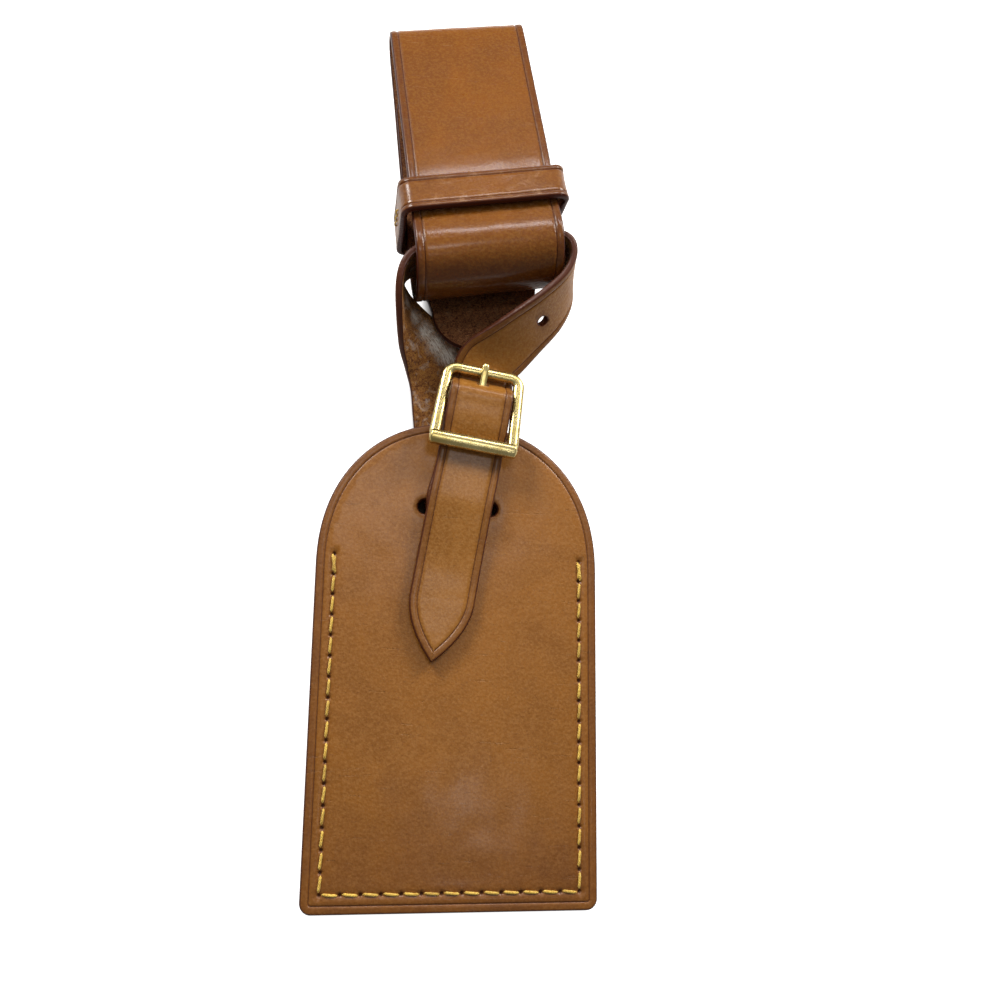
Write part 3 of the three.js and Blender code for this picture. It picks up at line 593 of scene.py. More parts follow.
def leather_strip(name, route, material, crease_inset=1.8, depth=0.22, middle=5, closed=False,
                  across_of=None, wear_and_sheen_at=(), ripple=0.05, painted_shade=None):
    grain, flesh = strip_profile(crease_inset, depth)
    inner = crease_inset + 0.9
    section = []
    for inset, rise, sink, edge, crease in grain:
        section.append((-1, inset, rise, sink, edge, crease, 0.0))
    for k in range(1, middle):
        section.append((k / middle * 2 - 1, None, 1.0, 0.0, 0.0, 0.0, 0.0))
    for inset, rise, sink, edge, crease in reversed(grain):
        section.append((1, inset, rise, sink, edge, crease, 0.0))
    for inset, rise, sink, edge, crease in flesh:
        section.append((1, inset, rise, sink, edge, crease, 1.0 if inset > 0.1 else 0.0))
    for k in range(middle - 1, 0, -1):
        section.append((k / middle * 2 - 1, None, -1.0, 0.0, 0.0, 0.0, 1.0))
    for inset, rise, sink, edge, crease in reversed(flesh):
        section.append((-1, inset, rise, sink, edge, crease, 1.0 if inset > 0.1 else 0.0))
    points = []
    data = {"edge": [], "crease": [], "flesh": [], "edge_dark_and_shade": [], "wear_and_sheen": []}
    uvs = []
    ends = len(route) - 1
    for row, (here, way, across, half, thick, travelled) in enumerate(route):
        across = across if across_of is None else across_of
        out_dir = across.cross(way).normalized()
        before = route[max(row - 1, 0)]
        after = route[min(row + 1, ends)]
        taper = (after[3] - before[3]) / max(0.05, after[5] - before[5]) if not closed else 0.0
        slant = min(2.6, math.sqrt(1 + taper * taper))
        for side, inset, rise, sink, edge, crease, under in section:
            keep = 1.0
            if inset is None:
                reach = side * max(0.04, half - inner * slant)
                from_edge = half - abs(reach)
            else:
                reach = side * max(0.05 + 0.004 * (inner - inset), half - inset * slant)
                from_edge = inset
                keep = smooth_step(half - inset * slant, -0.1, 0.2)
            height = 0.5 * thick * rise - sink * keep * min(1.0, thick / 1.5)
            p = here + across * reach + out_dir * height
            if rise > 0.9:
                wave = noise.noise(p * 0.16) * ripple + noise.noise(p * 0.55) * ripple * 0.35
                p = p + out_dir * (wave - ripple) * smooth_step(from_edge, 0.3, 2.5)
            elif rise < -0.9:
                p = p + out_dir * (0.05 + noise.noise(p * 1.9) * 0.05)
            points.append(p)
            data["edge"].append(edge)
            data["crease"].append(crease * keep)
            data["flesh"].append(under)
            dark = 1.0 - smooth_step(from_edge, crease_inset - 0.6, crease_inset + 0.7)
            # Where a painted shade mask is given, it darkens the strip as well.
            data["edge_dark_and_shade"].append(max(dark, painted_shade(p)) if painted_shade else dark)
            wear_and_sheen = 0.0
            for centre, size, strength in wear_and_sheen_at:
                wear_and_sheen = max(wear_and_sheen, strength * (1 - smooth_step((p - centre).length, 0.2 * size, size)))
            data["wear_and_sheen"].append(wear_and_sheen)
            uvs.append((travelled * 0.1, reach * 0.1))
    n = len(section)
    rows = len(route)
    faces = []
    for i in range(rows if closed else rows - 1):
        a = i * n
        b = ((i + 1) % rows) * n
        for j in range(n):
            k = (j + 1) % n
            faces.append((a + k, a + j, b + j, b + k))
    if not closed:
        faces.append(tuple(range(n)))
        faces.append(tuple((rows - 1) * n + j for j in reversed(range(n))))
    piece = new_piece(name, points, faces, material)
    for key, values in data.items():
        store(piece, key, values)
    store_uv(piece, uvs)
    return piece


def cut(piece, cutters):
    """Take shapes out of a strip."""
    collection = bpy.data.collections.new(piece.name + "_cutters")
    made = []
    for number, (bm, matrix) in enumerate(cutters):
        mesh = bpy.data.meshes.new(f"cutter_{number}")
        bm.to_mesh(mesh)
        bm.free()
        mesh.transform(matrix)
        cutter = bpy.data.objects.new(mesh.name, mesh)
        collection.objects.link(cutter)
        made.append(cutter)
    bpy.context.scene.collection.children.link(collection)
    modifier = piece.modifiers.new("punch", "BOOLEAN")
    modifier.operand_type = "COLLECTION"
    modifier.collection = collection
    modifier.operation = "DIFFERENCE"
    modifier.solver = "EXACT"
    applied(piece)
    for cutter in made:
        mesh = cutter.data
        bpy.data.objects.remove(cutter)
        bpy.data.meshes.remove(mesh)
    bpy.data.collections.remove(collection)
    return piece


def basis(x, y, z, origin):
    m = Matrix((x, y, z)).transposed().to_4x4()
    m.translation = origin
    return m


def punch(x, z, centre, radius, length):
    """A round cutter: z along the punch, centre in the part's millimetres."""
    bm = bmesh.new()
    bmesh.ops.create_cone(bm, cap_ends=True, segments=40, radius1=radius * MM, radius2=radius * MM,
                          depth=length * MM)
    return bm, basis(x, z.cross(x), z, place(centre))


def block(x, y, z, centre, size):
    bm = bmesh.new()
    bmesh.ops.create_cube(bm, size=1.0)
    bmesh.ops.scale(bm, vec=V(*size) * MM, verts=bm.verts)
    return bm, basis(x, y, z, place(centre))


def darken_rims(piece, rims):
    """Raw cut walls near each (centre, axis, radius) are darkened to the edge colour, with a dark ring round
    them: painted shade in and round the holes.
    """
    mesh = piece.data
    edge = mesh.attributes["edge"].data
    flesh = mesh.attributes["flesh"].data
    edge_dark_and_shade = mesh.attributes["edge_dark_and_shade"].data
    for centre, axis, radius in rims:
        middle = place(centre)
        for v in mesh.vertices:
            d = v.co - middle
            along = d.dot(axis)
            if abs(along) > 2.2 * MM:
                continue
            away = (d - axis * along).length / MM
            if away < radius + 0.06:
                edge[v.index].value = 1.0
                flesh[v.index].value = 0.0
            if away < radius + 0.5:
                edge_dark_and_shade[v.index].value = 1.0


# Narrow strap, from its fixed end round the buckle bar, through the slot, round the loop, to its tip.
def narrow_route():
    left = -EX
    route = []

    def go(p, across, thick=STRAP_T, half=STRAP_HALF):
        route.append((p, across.normalized(), half, thick))

    wrap = CENTRE_BAR_R + 0.12 + SKIVED_T / 2
    go(at_buckle(0, -5.6, 7.35), left, 0.6)
    go(at_buckle(0, -3.2, 7.5), left, SKIVED_T)
    for i in range(7):
        a = -math.pi / 2 + math.pi * i / 6
        turn = at_buckle(0, CENTRE_BAR_Y + wrap * math.cos(a), CENTRE_BAR_Z + wrap * math.sin(a))
        go(turn, left, SKIVED_T)
    go(at_buckle(0, -1.4, 10.15), left, 1.1)
    go(at_buckle(0, -3.8, 9.35), left, 1.3)
    go(at_buckle(0, -6.0, 8.6), left, 1.6)
    go(at_buckle(0, -9.0, 7.75), left)
    go(at_buckle(0, -14.0, 7.32), V(-0.994, 0.11, 0))
    turn_y = 90.7
    turn_r = 1.5
    in_slot = V(-0.998, 0.06, 0)
    for i in range(5):
        a = math.pi / 2 + math.pi / 2 * i / 4
        go(V(-0.5, turn_y + turn_r * math.cos(a), 5.72 + turn_r * math.sin(a)), in_slot)
    for i in range(5):
        a = math.pi + math.pi / 2 * i / 4
        go(V(-0.5, turn_y + turn_r * math.cos(a), 2.6 + turn_r * math.sin(a)), in_slot)
    for x, y, z, wx, wy, wz in (
            (-1.4, 97.5, 1.06, -0.995, -0.10, 0), (-3.0, 106.0, 1.06, -0.99, -0.13, 0),
            (-4.0, 114.0, 1.1, -0.998, -0.06, 0), (-4.9, 121.0, 1.5, -0.99, -0.08, 0.06),
            (-7.4, 127.0, 3.0, -0.95, -0.16, 0.25), (-11.8, 131.8, 6.7, -0.68, -0.14, 0.72),
            (-14.9, 136.4, 11.0, -0.3, -0.05, 0.95), (-16.0, 140.6, 13.8, -0.1, 0, 0.99),
            (-15.3, 144.2, LOOP_Z, 0, 0, 1), (-12.9, 146.4, LOOP_Z, 0, 0, 1)):
        go(V(x, y, z), V(wx, wy, wz))
    for across, along in ((-12.5, 0.3), (0, 0), (14.0, 0.2), (18.2, 0.0)):
        go(at_loop(across, along, LOOP_Z), EZ)
    for x, y, z, wx, wy, wz in (
            (24.0, 152.2, LOOP_Z, 0, 0, 1), (25.1, 148.4, 14.0, -0.1, 0, 1),
            (24.4, 143.0, 14.0, -0.3, 0.05, 0.95), (20.3, 137.0, 13.3, -0.46, 0.25, 0.85),
            (14.3, 131.6, 11.0, -0.6, 0.3, 0.74), (9.4, 127.3, 8.9, -0.82, 0.3, 0.48)):
        go(V(x, y, z), V(wx, wy, wz))
    go(at_buckle(0.3, 12.4, 7.6), V(-0.96, 0.2, 0.2))
    for y, z in ((UPPER_BAR_Y + 0.3, 7.0), (7.7, 7.35), (6.4, 8.9), (5.3, 10.9), (4.4, 12.2), (3.4, 12.6),
                 (CENTRE_BAR_Y, 12.3), (-3.8, 11.6), (-8.8, 9.85), (-14.0, 9.35)):
        go(at_buckle(0, y, z), left)
    tail = V(-0.988, 0.155, 0)
    for x, y, z in ((-0.15, 90.0, 8.95), (-1.1, 84.0, 8.0), (-2.4, 76.0, 7.1)):
        go(V(x, y, z), tail)
    tip_way = V(-0.155, -0.988, 0.012).normalized()
    for i in range(25):
        f = i / 24
        half = STRAP_HALF * (1 - f ** 1.9) + 0.25 * f
        go(V(-3.75, 67.6, 6.9) + tip_way * (TAPER_L * f), tail, STRAP_T, half)
    return route


narrow = sample_route(narrow_route(), 0.8)
free_from = min(narrow, key=lambda s: (s[0] - V(-3.0, 106.0, 1.06)).length)[5]
free_to = min(narrow, key=lambda s: (s[0] - at_buckle(0.3, 12.4, 7.6)).length)[5]
narrow = relaxed(narrow, free_from, free_to, 3.6)
strap = leather_strip("strap_leather", narrow, strap_leather, middle=6, ripple=0.05, wear_and_sheen_at=(
    (V(-1.5, 126.0, 1.6), 3.2, 0.9), (V(-3.6, 127.8, 2.2), 3.6, 1.0), (V(-6.5, 130.0, 3.4), 3.6, 1.0),
    (V(-9.6, 132.3, 5.0), 3.2, 0.9), (V(-12.5, 134.8, 7.6), 2.8, 0.7), (V(-14.6, 137.8, 10.5), 2.6, 0.5)))
prong_start = CENTRE_BAR_Z + CENTRE_BAR_R + 0.1 + PRONG_T / 2
prong_end = UPPER_BAR_Z + 1.0 + 0.2 + PRONG_T / 2
prong_slope = math.atan2(prong_end - prong_start, UPPER_BAR_Y - CENTRE_BAR_Y)
PRONG_WAY = EY * math.cos(prong_slope) + EZ * math.sin(prong_slope)
PRONG_UP = EX.cross(PRONG_WAY)
in_use = at_buckle(0, 5.9, 10.7)
hole_index = min(range(len(narrow) // 2, len(narrow)), key=lambda i: (narrow[i][0] - in_use).length)
cutters = [
    block(EX, EY, EZ, at_buckle(0, 0.9, CENTRE_BAR_Z), (3.0, 6.0, 4.2)),
    block(EX, PRONG_WAY, PRONG_UP,
          at_buckle(0, 6.3, prong_start + 5.3 * math.tan(prong_slope) + 0.15), (2.9, 6.0, 1.9)),
]
rims = []
for back in PUNCHED_BACK:
    target = narrow[hole_index][5] - back
    spot = next(s for s in narrow if s[5] >= target)
    up = spot[2].cross(spot[1]).normalized()
    cutters.append(punch(spot[2], up, spot[0], HOLE_R, 5.0))
    rims.append((spot[0], up, HOLE_R))
cut(strap, cutters)
darken_rims(strap, rims)
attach(strap, "strap")
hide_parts("tag_strap")


def fold_painted_shade(p):
    """Painted shade: the lower fold is darkened where it turns away from the light."""
    return 1.5 * (1 - smooth_step((p - V(LOOP_X, LOOP_Y, 0)).dot(LOOP_ALONG), -9.6, -3.0))


# Wide handle loop: inner end, lower fold, front, upper fold, back, tab.
def wide_route():
    route = []

    def lay(along, z, half=LOOP_HALF):
        if z > LOOP_Z:
            z -= KEEPER_PRESS * math.exp(-((along - KEEPER_A) / 6.5) ** 2)
        route.append((at_loop(0, along, z), LOOP_ACROSS.copy(), half, LOOP_T))

    slope = math.atan2(LOOP_Z - FAR_Z, LOOP_L)
    slope += math.asin((NEAR_R - FAR_R) / math.hypot(LOOP_L, LOOP_Z - FAR_Z))
    far_bottom = FAR_Z - FAR_R

    def back_z(along):
        return far_bottom + (BACK_Z - far_bottom) * (LOOP_L - along) / (LOOP_L - 4)

    inner_z = back_z(SNAP_A) + LOOP_T + SNAP_GAP
    for f in (0, 0.04, 0.12, 0.3, 0.6, 1):
        lay(INNER_END - 6 * f, inner_z, LOOP_HALF - 2.6 * (1 - f) ** 2)
    lay(SNAP_A - 7, inner_z)
    lay(18, LOOP_Z - NEAR_R + 0.1)
    lay(8, LOOP_Z - NEAR_R)
    for i in range(15):
        a = 1.5 * math.pi - (math.pi + slope) * i / 14
        lay(NEAR_R * math.cos(a), LOOP_Z + NEAR_R * math.sin(a))
    start = NEAR_R * math.sin(slope)
    for along in (4.5, 7, 9.5, 12, 14.6, 17.2, 19.7, 22.2, 26, 34, 48):
        lay(along, LOOP_Z + NEAR_R * math.cos(slope) - (along - start) * math.tan(slope))
    for i in range(8):
        a = math.pi / 2 - slope - (math.pi - slope) * i / 7
        lay(LOOP_L + FAR_R * math.cos(a), FAR_Z + FAR_R * math.sin(a))
    lay(LOOP_L - 8, back_z(LOOP_L - 8))
    lay(SNAP_A + 7, back_z(SNAP_A))
    lay(SNAP_A - 7, back_z(SNAP_A))
    lay(20, back_z(20))
    lay(6, BACK_Z)
    lay(0, BACK_Z, LOOP_HALF - 0.5)
    lay(-3, BACK_Z + 0.25, LOOP_HALF - 2.0)
    lay(-6.5, BACK_Z + 1.0, TAB_HALF + 0.7)
    tab = -(TAB_L - TAB_ROUND)
    lay(tab, BACK_Z + 2.0, TAB_HALF)
    for i in range(1, 21):
        f = math.sin(math.pi / 2 * i / 20)
        half = TAB_HALF * max(0.0, 1 - f ** 2.3) ** (1 / 2.3) + 0.6 * f ** 8
        lay(tab - TAB_ROUND * f, BACK_Z + 2.0 + 2.3 * f - 0.6 * f * f, half)
    return route, slope, back_z, inner_z


wide_stations, front_slope, back_z, inner_z = wide_route()
wide = sample_route(wide_stations, 0.9)
# Scuffs round the keeper, partly a painted sheen where the loop catches the light.
rubbed_and_sheen_spots = ((-14, 8.2), (-8, 8.6), (-2, 8.4), (4, 8.8), (10, 8.2), (15, 7.6),
                (-10, 20.4), (-3, 20.8), (4, 20.4), (11, 20.6))
handle = leather_strip("handle_leather", wide, loop_leather, crease_inset=2.0, depth=0.26, middle=12,
                       across_of=LOOP_ACROSS, ripple=0.09, painted_shade=fold_painted_shade,
                       wear_and_sheen_at=[(at_loop(across, along, 22.6), 4.5, 0.75) for across, along in rubbed_and_sheen_spots])
cut(handle, [punch(V(1, 0, 0), EZ, at_loop(0, SNAP_A, 5.0), 1.7, 14.0)])
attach(handle, "loop")
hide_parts("handle_loop")


# Keeper band round both layers.
def keeper_route():
    start = NEAR_R * math.sin(front_slope)
    top = LOOP_Z + NEAR_R * math.cos(front_slope) - (KEEPER_A - start) * math.tan(front_slope)
    top += LOOP_T / 2 / math.cos(front_slope) + 0.3 + KEEPER_T / 2
    low = back_z(KEEPER_A) - LOOP_T / 2 - 0.12 - KEEPER_T / 2
    side = KEEPER_IN / 2 + KEEPER_T / 2
    over = LOOP_ALONG * math.cos(front_slope) - EZ * math.sin(front_slope)
    under = (LOOP_ALONG - EZ * ((BACK_Z - FAR_Z + FAR_R) / (LOOP_L - 4))).normalized()
    route = []

    def at(across, z):
        f = (z - low) / (top - low)
        route.append((at_loop(across, KEEPER_A, z), under.lerp(over, f ** 2), KEEPER_HALF, KEEPER_T))

    def corner(across, z, start_angle):
        for i in range(5):
            a = start_angle + math.pi / 2 * i / 4
            at(across + KEEPER_R * math.cos(a), z + KEEPER_R * math.sin(a))

    corner(side - KEEPER_R, top - KEEPER_R, 0)
    at(6, top)
    at(-6, top)
    corner(-side + KEEPER_R, top - KEEPER_R, math.pi / 2)
    at(-side, (top + low) / 2)
    corner(-side + KEEPER_R, low + KEEPER_R, math.pi)
    at(-6, low)
    at(6, low)
    corner(side - KEEPER_R, low + KEEPER_R, 1.5 * math.pi)
    at(side, (top + low) / 2)
    return route, side


keeper_stations, keeper_side = keeper_route()
band = sample_route(keeper_stations, 0.7, closed=True)
# Pale spots along the keeper's edges: scuffs, partly painted highlights.
keeper = leather_strip("keeper_leather", band, loop_leather, crease_inset=1.5, depth=0.2, middle=4,
                       closed=True, ripple=0.10, wear_and_sheen_at=[
                           (at_loop(across, KEEPER_A + shift, 23.6), 3.0, 0.8)
                           for across, shift in ((-12, -3.2), (-6, -3.0), (0, -3.3), (6, -2.8), (12, -3.2),
                                                 (-9, 3.0), (-2, 3.2), (5, 3.0), (13, 2.6), (9, 0.4))])
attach(keeper, "keeper")
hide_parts("keeper")


# ---- Pocket panels ----
def arch_outline(count_arch=150, side_step=0.9):
    """The pocket's outline, anticlockwise from the right bottom corner."""
    half = TAG_W / 2
    shoulder = TAG_H - ARCH_H
    points = []
    for i in range(9):
        a = -math.pi / 2 + math.pi / 2 * i / 8
        points.append((half - CORNER_R + CORNER_R * math.cos(a), CORNER_R + CORNER_R * math.sin(a)))
    steps = round((shoulder - CORNER_R) / side_step)
    for i in range(1, steps):
        points.append((half, CORNER_R + (shoulder - CORNER_R) * i / steps))
    for i in range(count_arch + 1):
        a = math.pi * i / count_arch
        c = math.cos(a)
        x = half * math.copysign(abs(c) ** (2 / ARCH_POWER), c)
        points.append((x, shoulder + ARCH_H * abs(math.sin(a)) ** (2 / ARCH_POWER)))
    for i in range(1, steps):
        points.append((-half, shoulder - (shoulder - CORNER_R) * i / steps))
    for i in range(9):
        a = math.pi + math.pi / 2 * i / 8
        points.append((-half + CORNER_R + CORNER_R * math.cos(a), CORNER_R + CORNER_R * math.sin(a)))
    steps = round((TAG_W - 2 * CORNER_R) / side_step)
    for i in range(1, steps):
        points.append((-half + CORNER_R + (TAG_W - 2 * CORNER_R) * i / steps, 0.0))
    return points


def inward(points, inset):
    out = []
    n = len(points)
    for i, p in enumerate(points):
        a = Vector(points[i - 1])
        b = Vector(points[(i + 1) % n])
        d = (b - a).normalized()
        out.append((p[0] - d.y * inset, p[1] + d.x * inset))
    return out


def slot_ring(grow, count=30):
    r = SLOT_W / 2 + grow
    reach = SLOT_L / 2 - SLOT_W / 2
    out = []
    for i in range(count + 1):
        a = -math.pi / 2 + math.pi * i / count
        out.append((SLOT_X + reach + r * math.cos(a), SLOT_Y + r * math.sin(a)))
    flat = 18
    for i in range(1, flat):
        out.append((SLOT_X + reach - 2 * reach * i / flat, SLOT_Y + r))
    for i in range(count + 1):
        a = math.pi / 2 + math.pi * i / count
        out.append((SLOT_X - reach + r * math.cos(a), SLOT_Y + r * math.sin(a)))
    for i in range(1, flat):
        out.append((SLOT_X - reach + 2 * reach * i / flat, SLOT_Y - r))
    return out


def slot_distance(x, y):
    reach = SLOT_L / 2 - SLOT_W / 2
    dx = max(0.0, abs(x - SLOT_X) - reach)
    return math.hypot(dx, y - SLOT_Y) - SLOT_W / 2


def seam_needles():
    x = TAG_W / 2 - SEAM_INSET
    side_count = round((SEAM_TOP - SEAM_INSET) / STITCH)
    side_pitch = (SEAM_TOP - SEAM_INSET) / side_count
    bottom_count = round(2 * x / STITCH)
    out = []
    for i in range(side_count):
        out.append((-x, SEAM_TOP - i * side_pitch))
    for i in range(bottom_count):
        out.append((-x + i * 2 * x / bottom_count, SEAM_INSET))
    for i in range(side_count + 1):
        out.append((x, SEAM_INSET + i * side_pitch))
    return out


needles = seam_needles()


def seam_distance(x, y):
    line = TAG_W / 2 - SEAM_INSET
    if y > SEAM_TOP:
        return math.hypot(abs(x) - line, y - SEAM_TOP)
    side = abs(abs(x) - line)
    if y < SEAM_INSET:
        side = math.hypot(side, SEAM_INSET - y)
    bottom = abs(y - SEAM_INSET) if abs(x) < line else 99.0
    return min(side, bottom)


EDGE_RINGS = ((0.0, 0.0), (0.05, 0.45), (0.17, 0.76), (0.38, 0.91), (0.7, 0.97), (1.2, 1.0),
              (CREASE_INSET - 0.35, 1.0), (CREASE_INSET - 0.14, 0.98), (CREASE_INSET, 0.98),
              (CREASE_INSET + 0.14, 0.98), (CREASE_INSET + 0.38, 1.0))


def pocket_panel(name, low, grain_up, body, replaced):
    """One arched panel between local heights low and low + thickness."""
    outline = arch_outline()
    flat = []
    info = []

    def put(x, y, rise=1.0, edge=0.0, crease=0.0, dent=0.0, inset=9.0):
        flat.append(Vector((x, y)))
        info.append((rise, edge, crease, dent, inset))

    for inset, rise in EDGE_RINGS:
        edge = 1.0 if inset < 0.2 else (0.5 if inset < 0.5 else 0.0)
        crease = max(0.0, 1 - abs(inset - CREASE_INSET) / 0.2)
        for x, y in inward(outline, inset):
            put(x, y, rise, edge, crease, 0.0, inset)
    ring = len(outline)
    slot_start = len(flat)
    for grow, rise in ((0.0, 0.0), (0.05, 0.5), (0.2, 0.8), (0.45, 0.93), (0.9, 0.99), (1.5, 1.0)):
        edge = 1.0 if grow < 0.3 else 0.0
        for x, y in slot_ring(grow):
            put(x, y, rise, edge, 0.0, 0.0, 1.2 + grow)
    slot_count = len(slot_ring(0.0))
    # Dimples where the thread goes in.
    for x, y in needles:
        put(x, y, dent=0.75)
        for k in range(8):
            a = k * math.pi / 4
            put(x + 0.34 * math.cos(a), y + 0.34 * math.sin(a), dent=0.4)
            put(x + 0.62 * math.cos(a), y + 0.62 * math.sin(a), dent=0.0)
    line = TAG_W / 2 - SEAM_INSET

    def clear_of_needles(x, y):
        return min((x - a) ** 2 + (y - b) ** 2 for a, b in needles) > 0.72 ** 2

    rows = (-1.1, -0.7, -0.35, 0.0, 0.35, 0.7, 1.1)
    steps = round((SEAM_TOP - SEAM_INSET) / 0.8)
    for side in (-1, 1):
        for k in range(steps + 1):
            y = SEAM_INSET + (SEAM_TOP - SEAM_INSET) * k / steps
            for r in rows:
                x = side * (line + r)
                if clear_of_needles(x, y) and (y > SEAM_INSET + 1.3 or r == 0.0):
                    put(x, y)
    steps = round(2 * line / 0.8)
    for k in range(steps + 1):
        x = -line + 2 * line * k / steps
        for r in rows:
            y = SEAM_INSET + r
            if clear_of_needles(x, y) and (abs(x) < line - 1.3 or r == 0.0):
                put(x, y)
    pitch = 1.5
    shoulder = TAG_H - ARCH_H
    y = 3.0
    while y < TAG_H - 3:
        half = TAG_W / 2 - 3.0
        if y > shoulder:
            share = (y - shoulder) / (ARCH_H - 3.0)
            half = half * max(0.0, 1 - share ** ARCH_POWER) ** (1 / ARCH_POWER) if share < 1 else 0.0
        x = -math.floor(half / pitch) * pitch
        while x <= half:
            jx = x + rng.uniform(-0.25, 0.25)
            jy = y + rng.uniform(-0.25, 0.25)
            if seam_distance(jx, jy) > 1.5 and slot_distance(jx, jy) > 1.9 and half > 1.0:
                put(jx, jy)
            x += pitch
        y += pitch
    edges = [(i, (i + 1) % ring) for i in range(ring)]
    edges += [(slot_start + i, slot_start + (i + 1) % slot_count) for i in range(slot_count)]
    verts, _, faces, origins, _, _ = delaunay_2d_cdt(flat, edges, [], 0, 1e-7)
    keep = []
    for face in faces:
        cx = sum(verts[i].x for i in face) / 3
        cy = sum(verts[i].y for i in face) / 3
        if slot_distance(cx, cy) < -1e-5:
            continue
        keep.append(face)
    source = [o[0] if o else 0 for o in origins]
    thick = PANEL_T
    middle = low + thick / 2
    points = []
    data = {"edge": [], "crease": [], "flesh": [], "edge_dark_and_shade": [], "wear_and_sheen": []}
    uvs = []
    outer_of = {}
    inner_of = {}
    for outer in (True, False):
        for i, v in enumerate(verts):
            rise, edge, crease, dent, inset = info[source[i]]
            if rise == 0.0 and not outer:
                inner_of[i] = outer_of[i]
                continue
            height = thick / 2 * rise
            seam = seam_distance(v.x, v.y)
            if outer:
                height -= 0.24 * crease
                height -= 0.16 * (1 - smooth_step(seam, 0.25, 0.95))
                height -= dent
                swell = 0.10 * noise.noise(V(v.x * 0.055, v.y * 0.055, low))
                swell += 0.05 * noise.noise(V(v.x * 0.2, v.y * 0.2, low + 5))
                near_slot = 1 - smooth_step(slot_distance(v.x, v.y), 0.5, 9.0)
                swell += 0.12 * near_slot if grain_up else -0.2
                height += swell * smooth_step(inset, 0.5, 2.6) * smooth_step(seam, 0.3, 2.0)
            else:
                # The two panels are pressed together along the seam.
                closeness = 1 - smooth_step(seam, 2.0, 6.0)
                height += (POCKET_GAP / 2 - 0.03) * closeness * (1 if rise > 0.9 else rise)
            up = height if outer == grain_up else -height
            outer_of[i] = len(points) if outer else outer_of[i]
            if not outer:
                inner_of[i] = len(points)
            points.append(tag_point(v.x, v.y, middle + up))
            data["edge"].append(edge)
            # Painted shade: the needle dimples and the seam line are darkened through the crease and
            # darkening masks.
            data["crease"].append(min(1.0, max(crease, 1.6 * dent)) if outer else 0.0)
            data["flesh"].append(0.0 if outer or edge == 1.0 else 1.0)
            rim = 1 - smooth_step(min(inset, 9.0), CREASE_INSET - 0.7, CREASE_INSET + 0.6)
            # Painted shade: darker towards the bottom, and a little more on the right, where the light falls
            # off.
            lower_painted_shade = 1 - smooth_step(v.y + 6 * noise.noise(V(v.x * 0.05, v.y * 0.05, 3)), 4, 34)
            lower_painted_shade *= 0.75 + 0.25 * smooth_step(v.x, -20, 0)
            data["edge_dark_and_shade"].append(max(rim, 1.2 * dent, 0.6 * (1 - smooth_step(seam, 0.3, 0.9)), 0.9 * lower_painted_shade))
            data["wear_and_sheen"].append(0.0)
            uvs.append((v.x * 0.1, v.y * 0.1))
    out_faces = []
    for face in keep:
        top = tuple(outer_of[i] for i in face)
        bottom = tuple(inner_of[i] for i in reversed(face))
        if not grain_up:
            top = tuple(reversed(top))
            bottom = tuple(reversed(bottom))
        out_faces.append(top)
        out_faces.append(bottom)
    panel = new_piece(name, points, out_faces, pocket_leather)
    for key, values in data.items():
        store(panel, key, values)
    store_uv(panel, uvs)
    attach(panel, body)
    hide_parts(replaced)
    return panel


pocket_panel("front_leather", PANEL_T + POCKET_GAP, True, "tag", "front_panel")
pocket_panel("back_leather", 0.0, False, "tag", "back_panel")


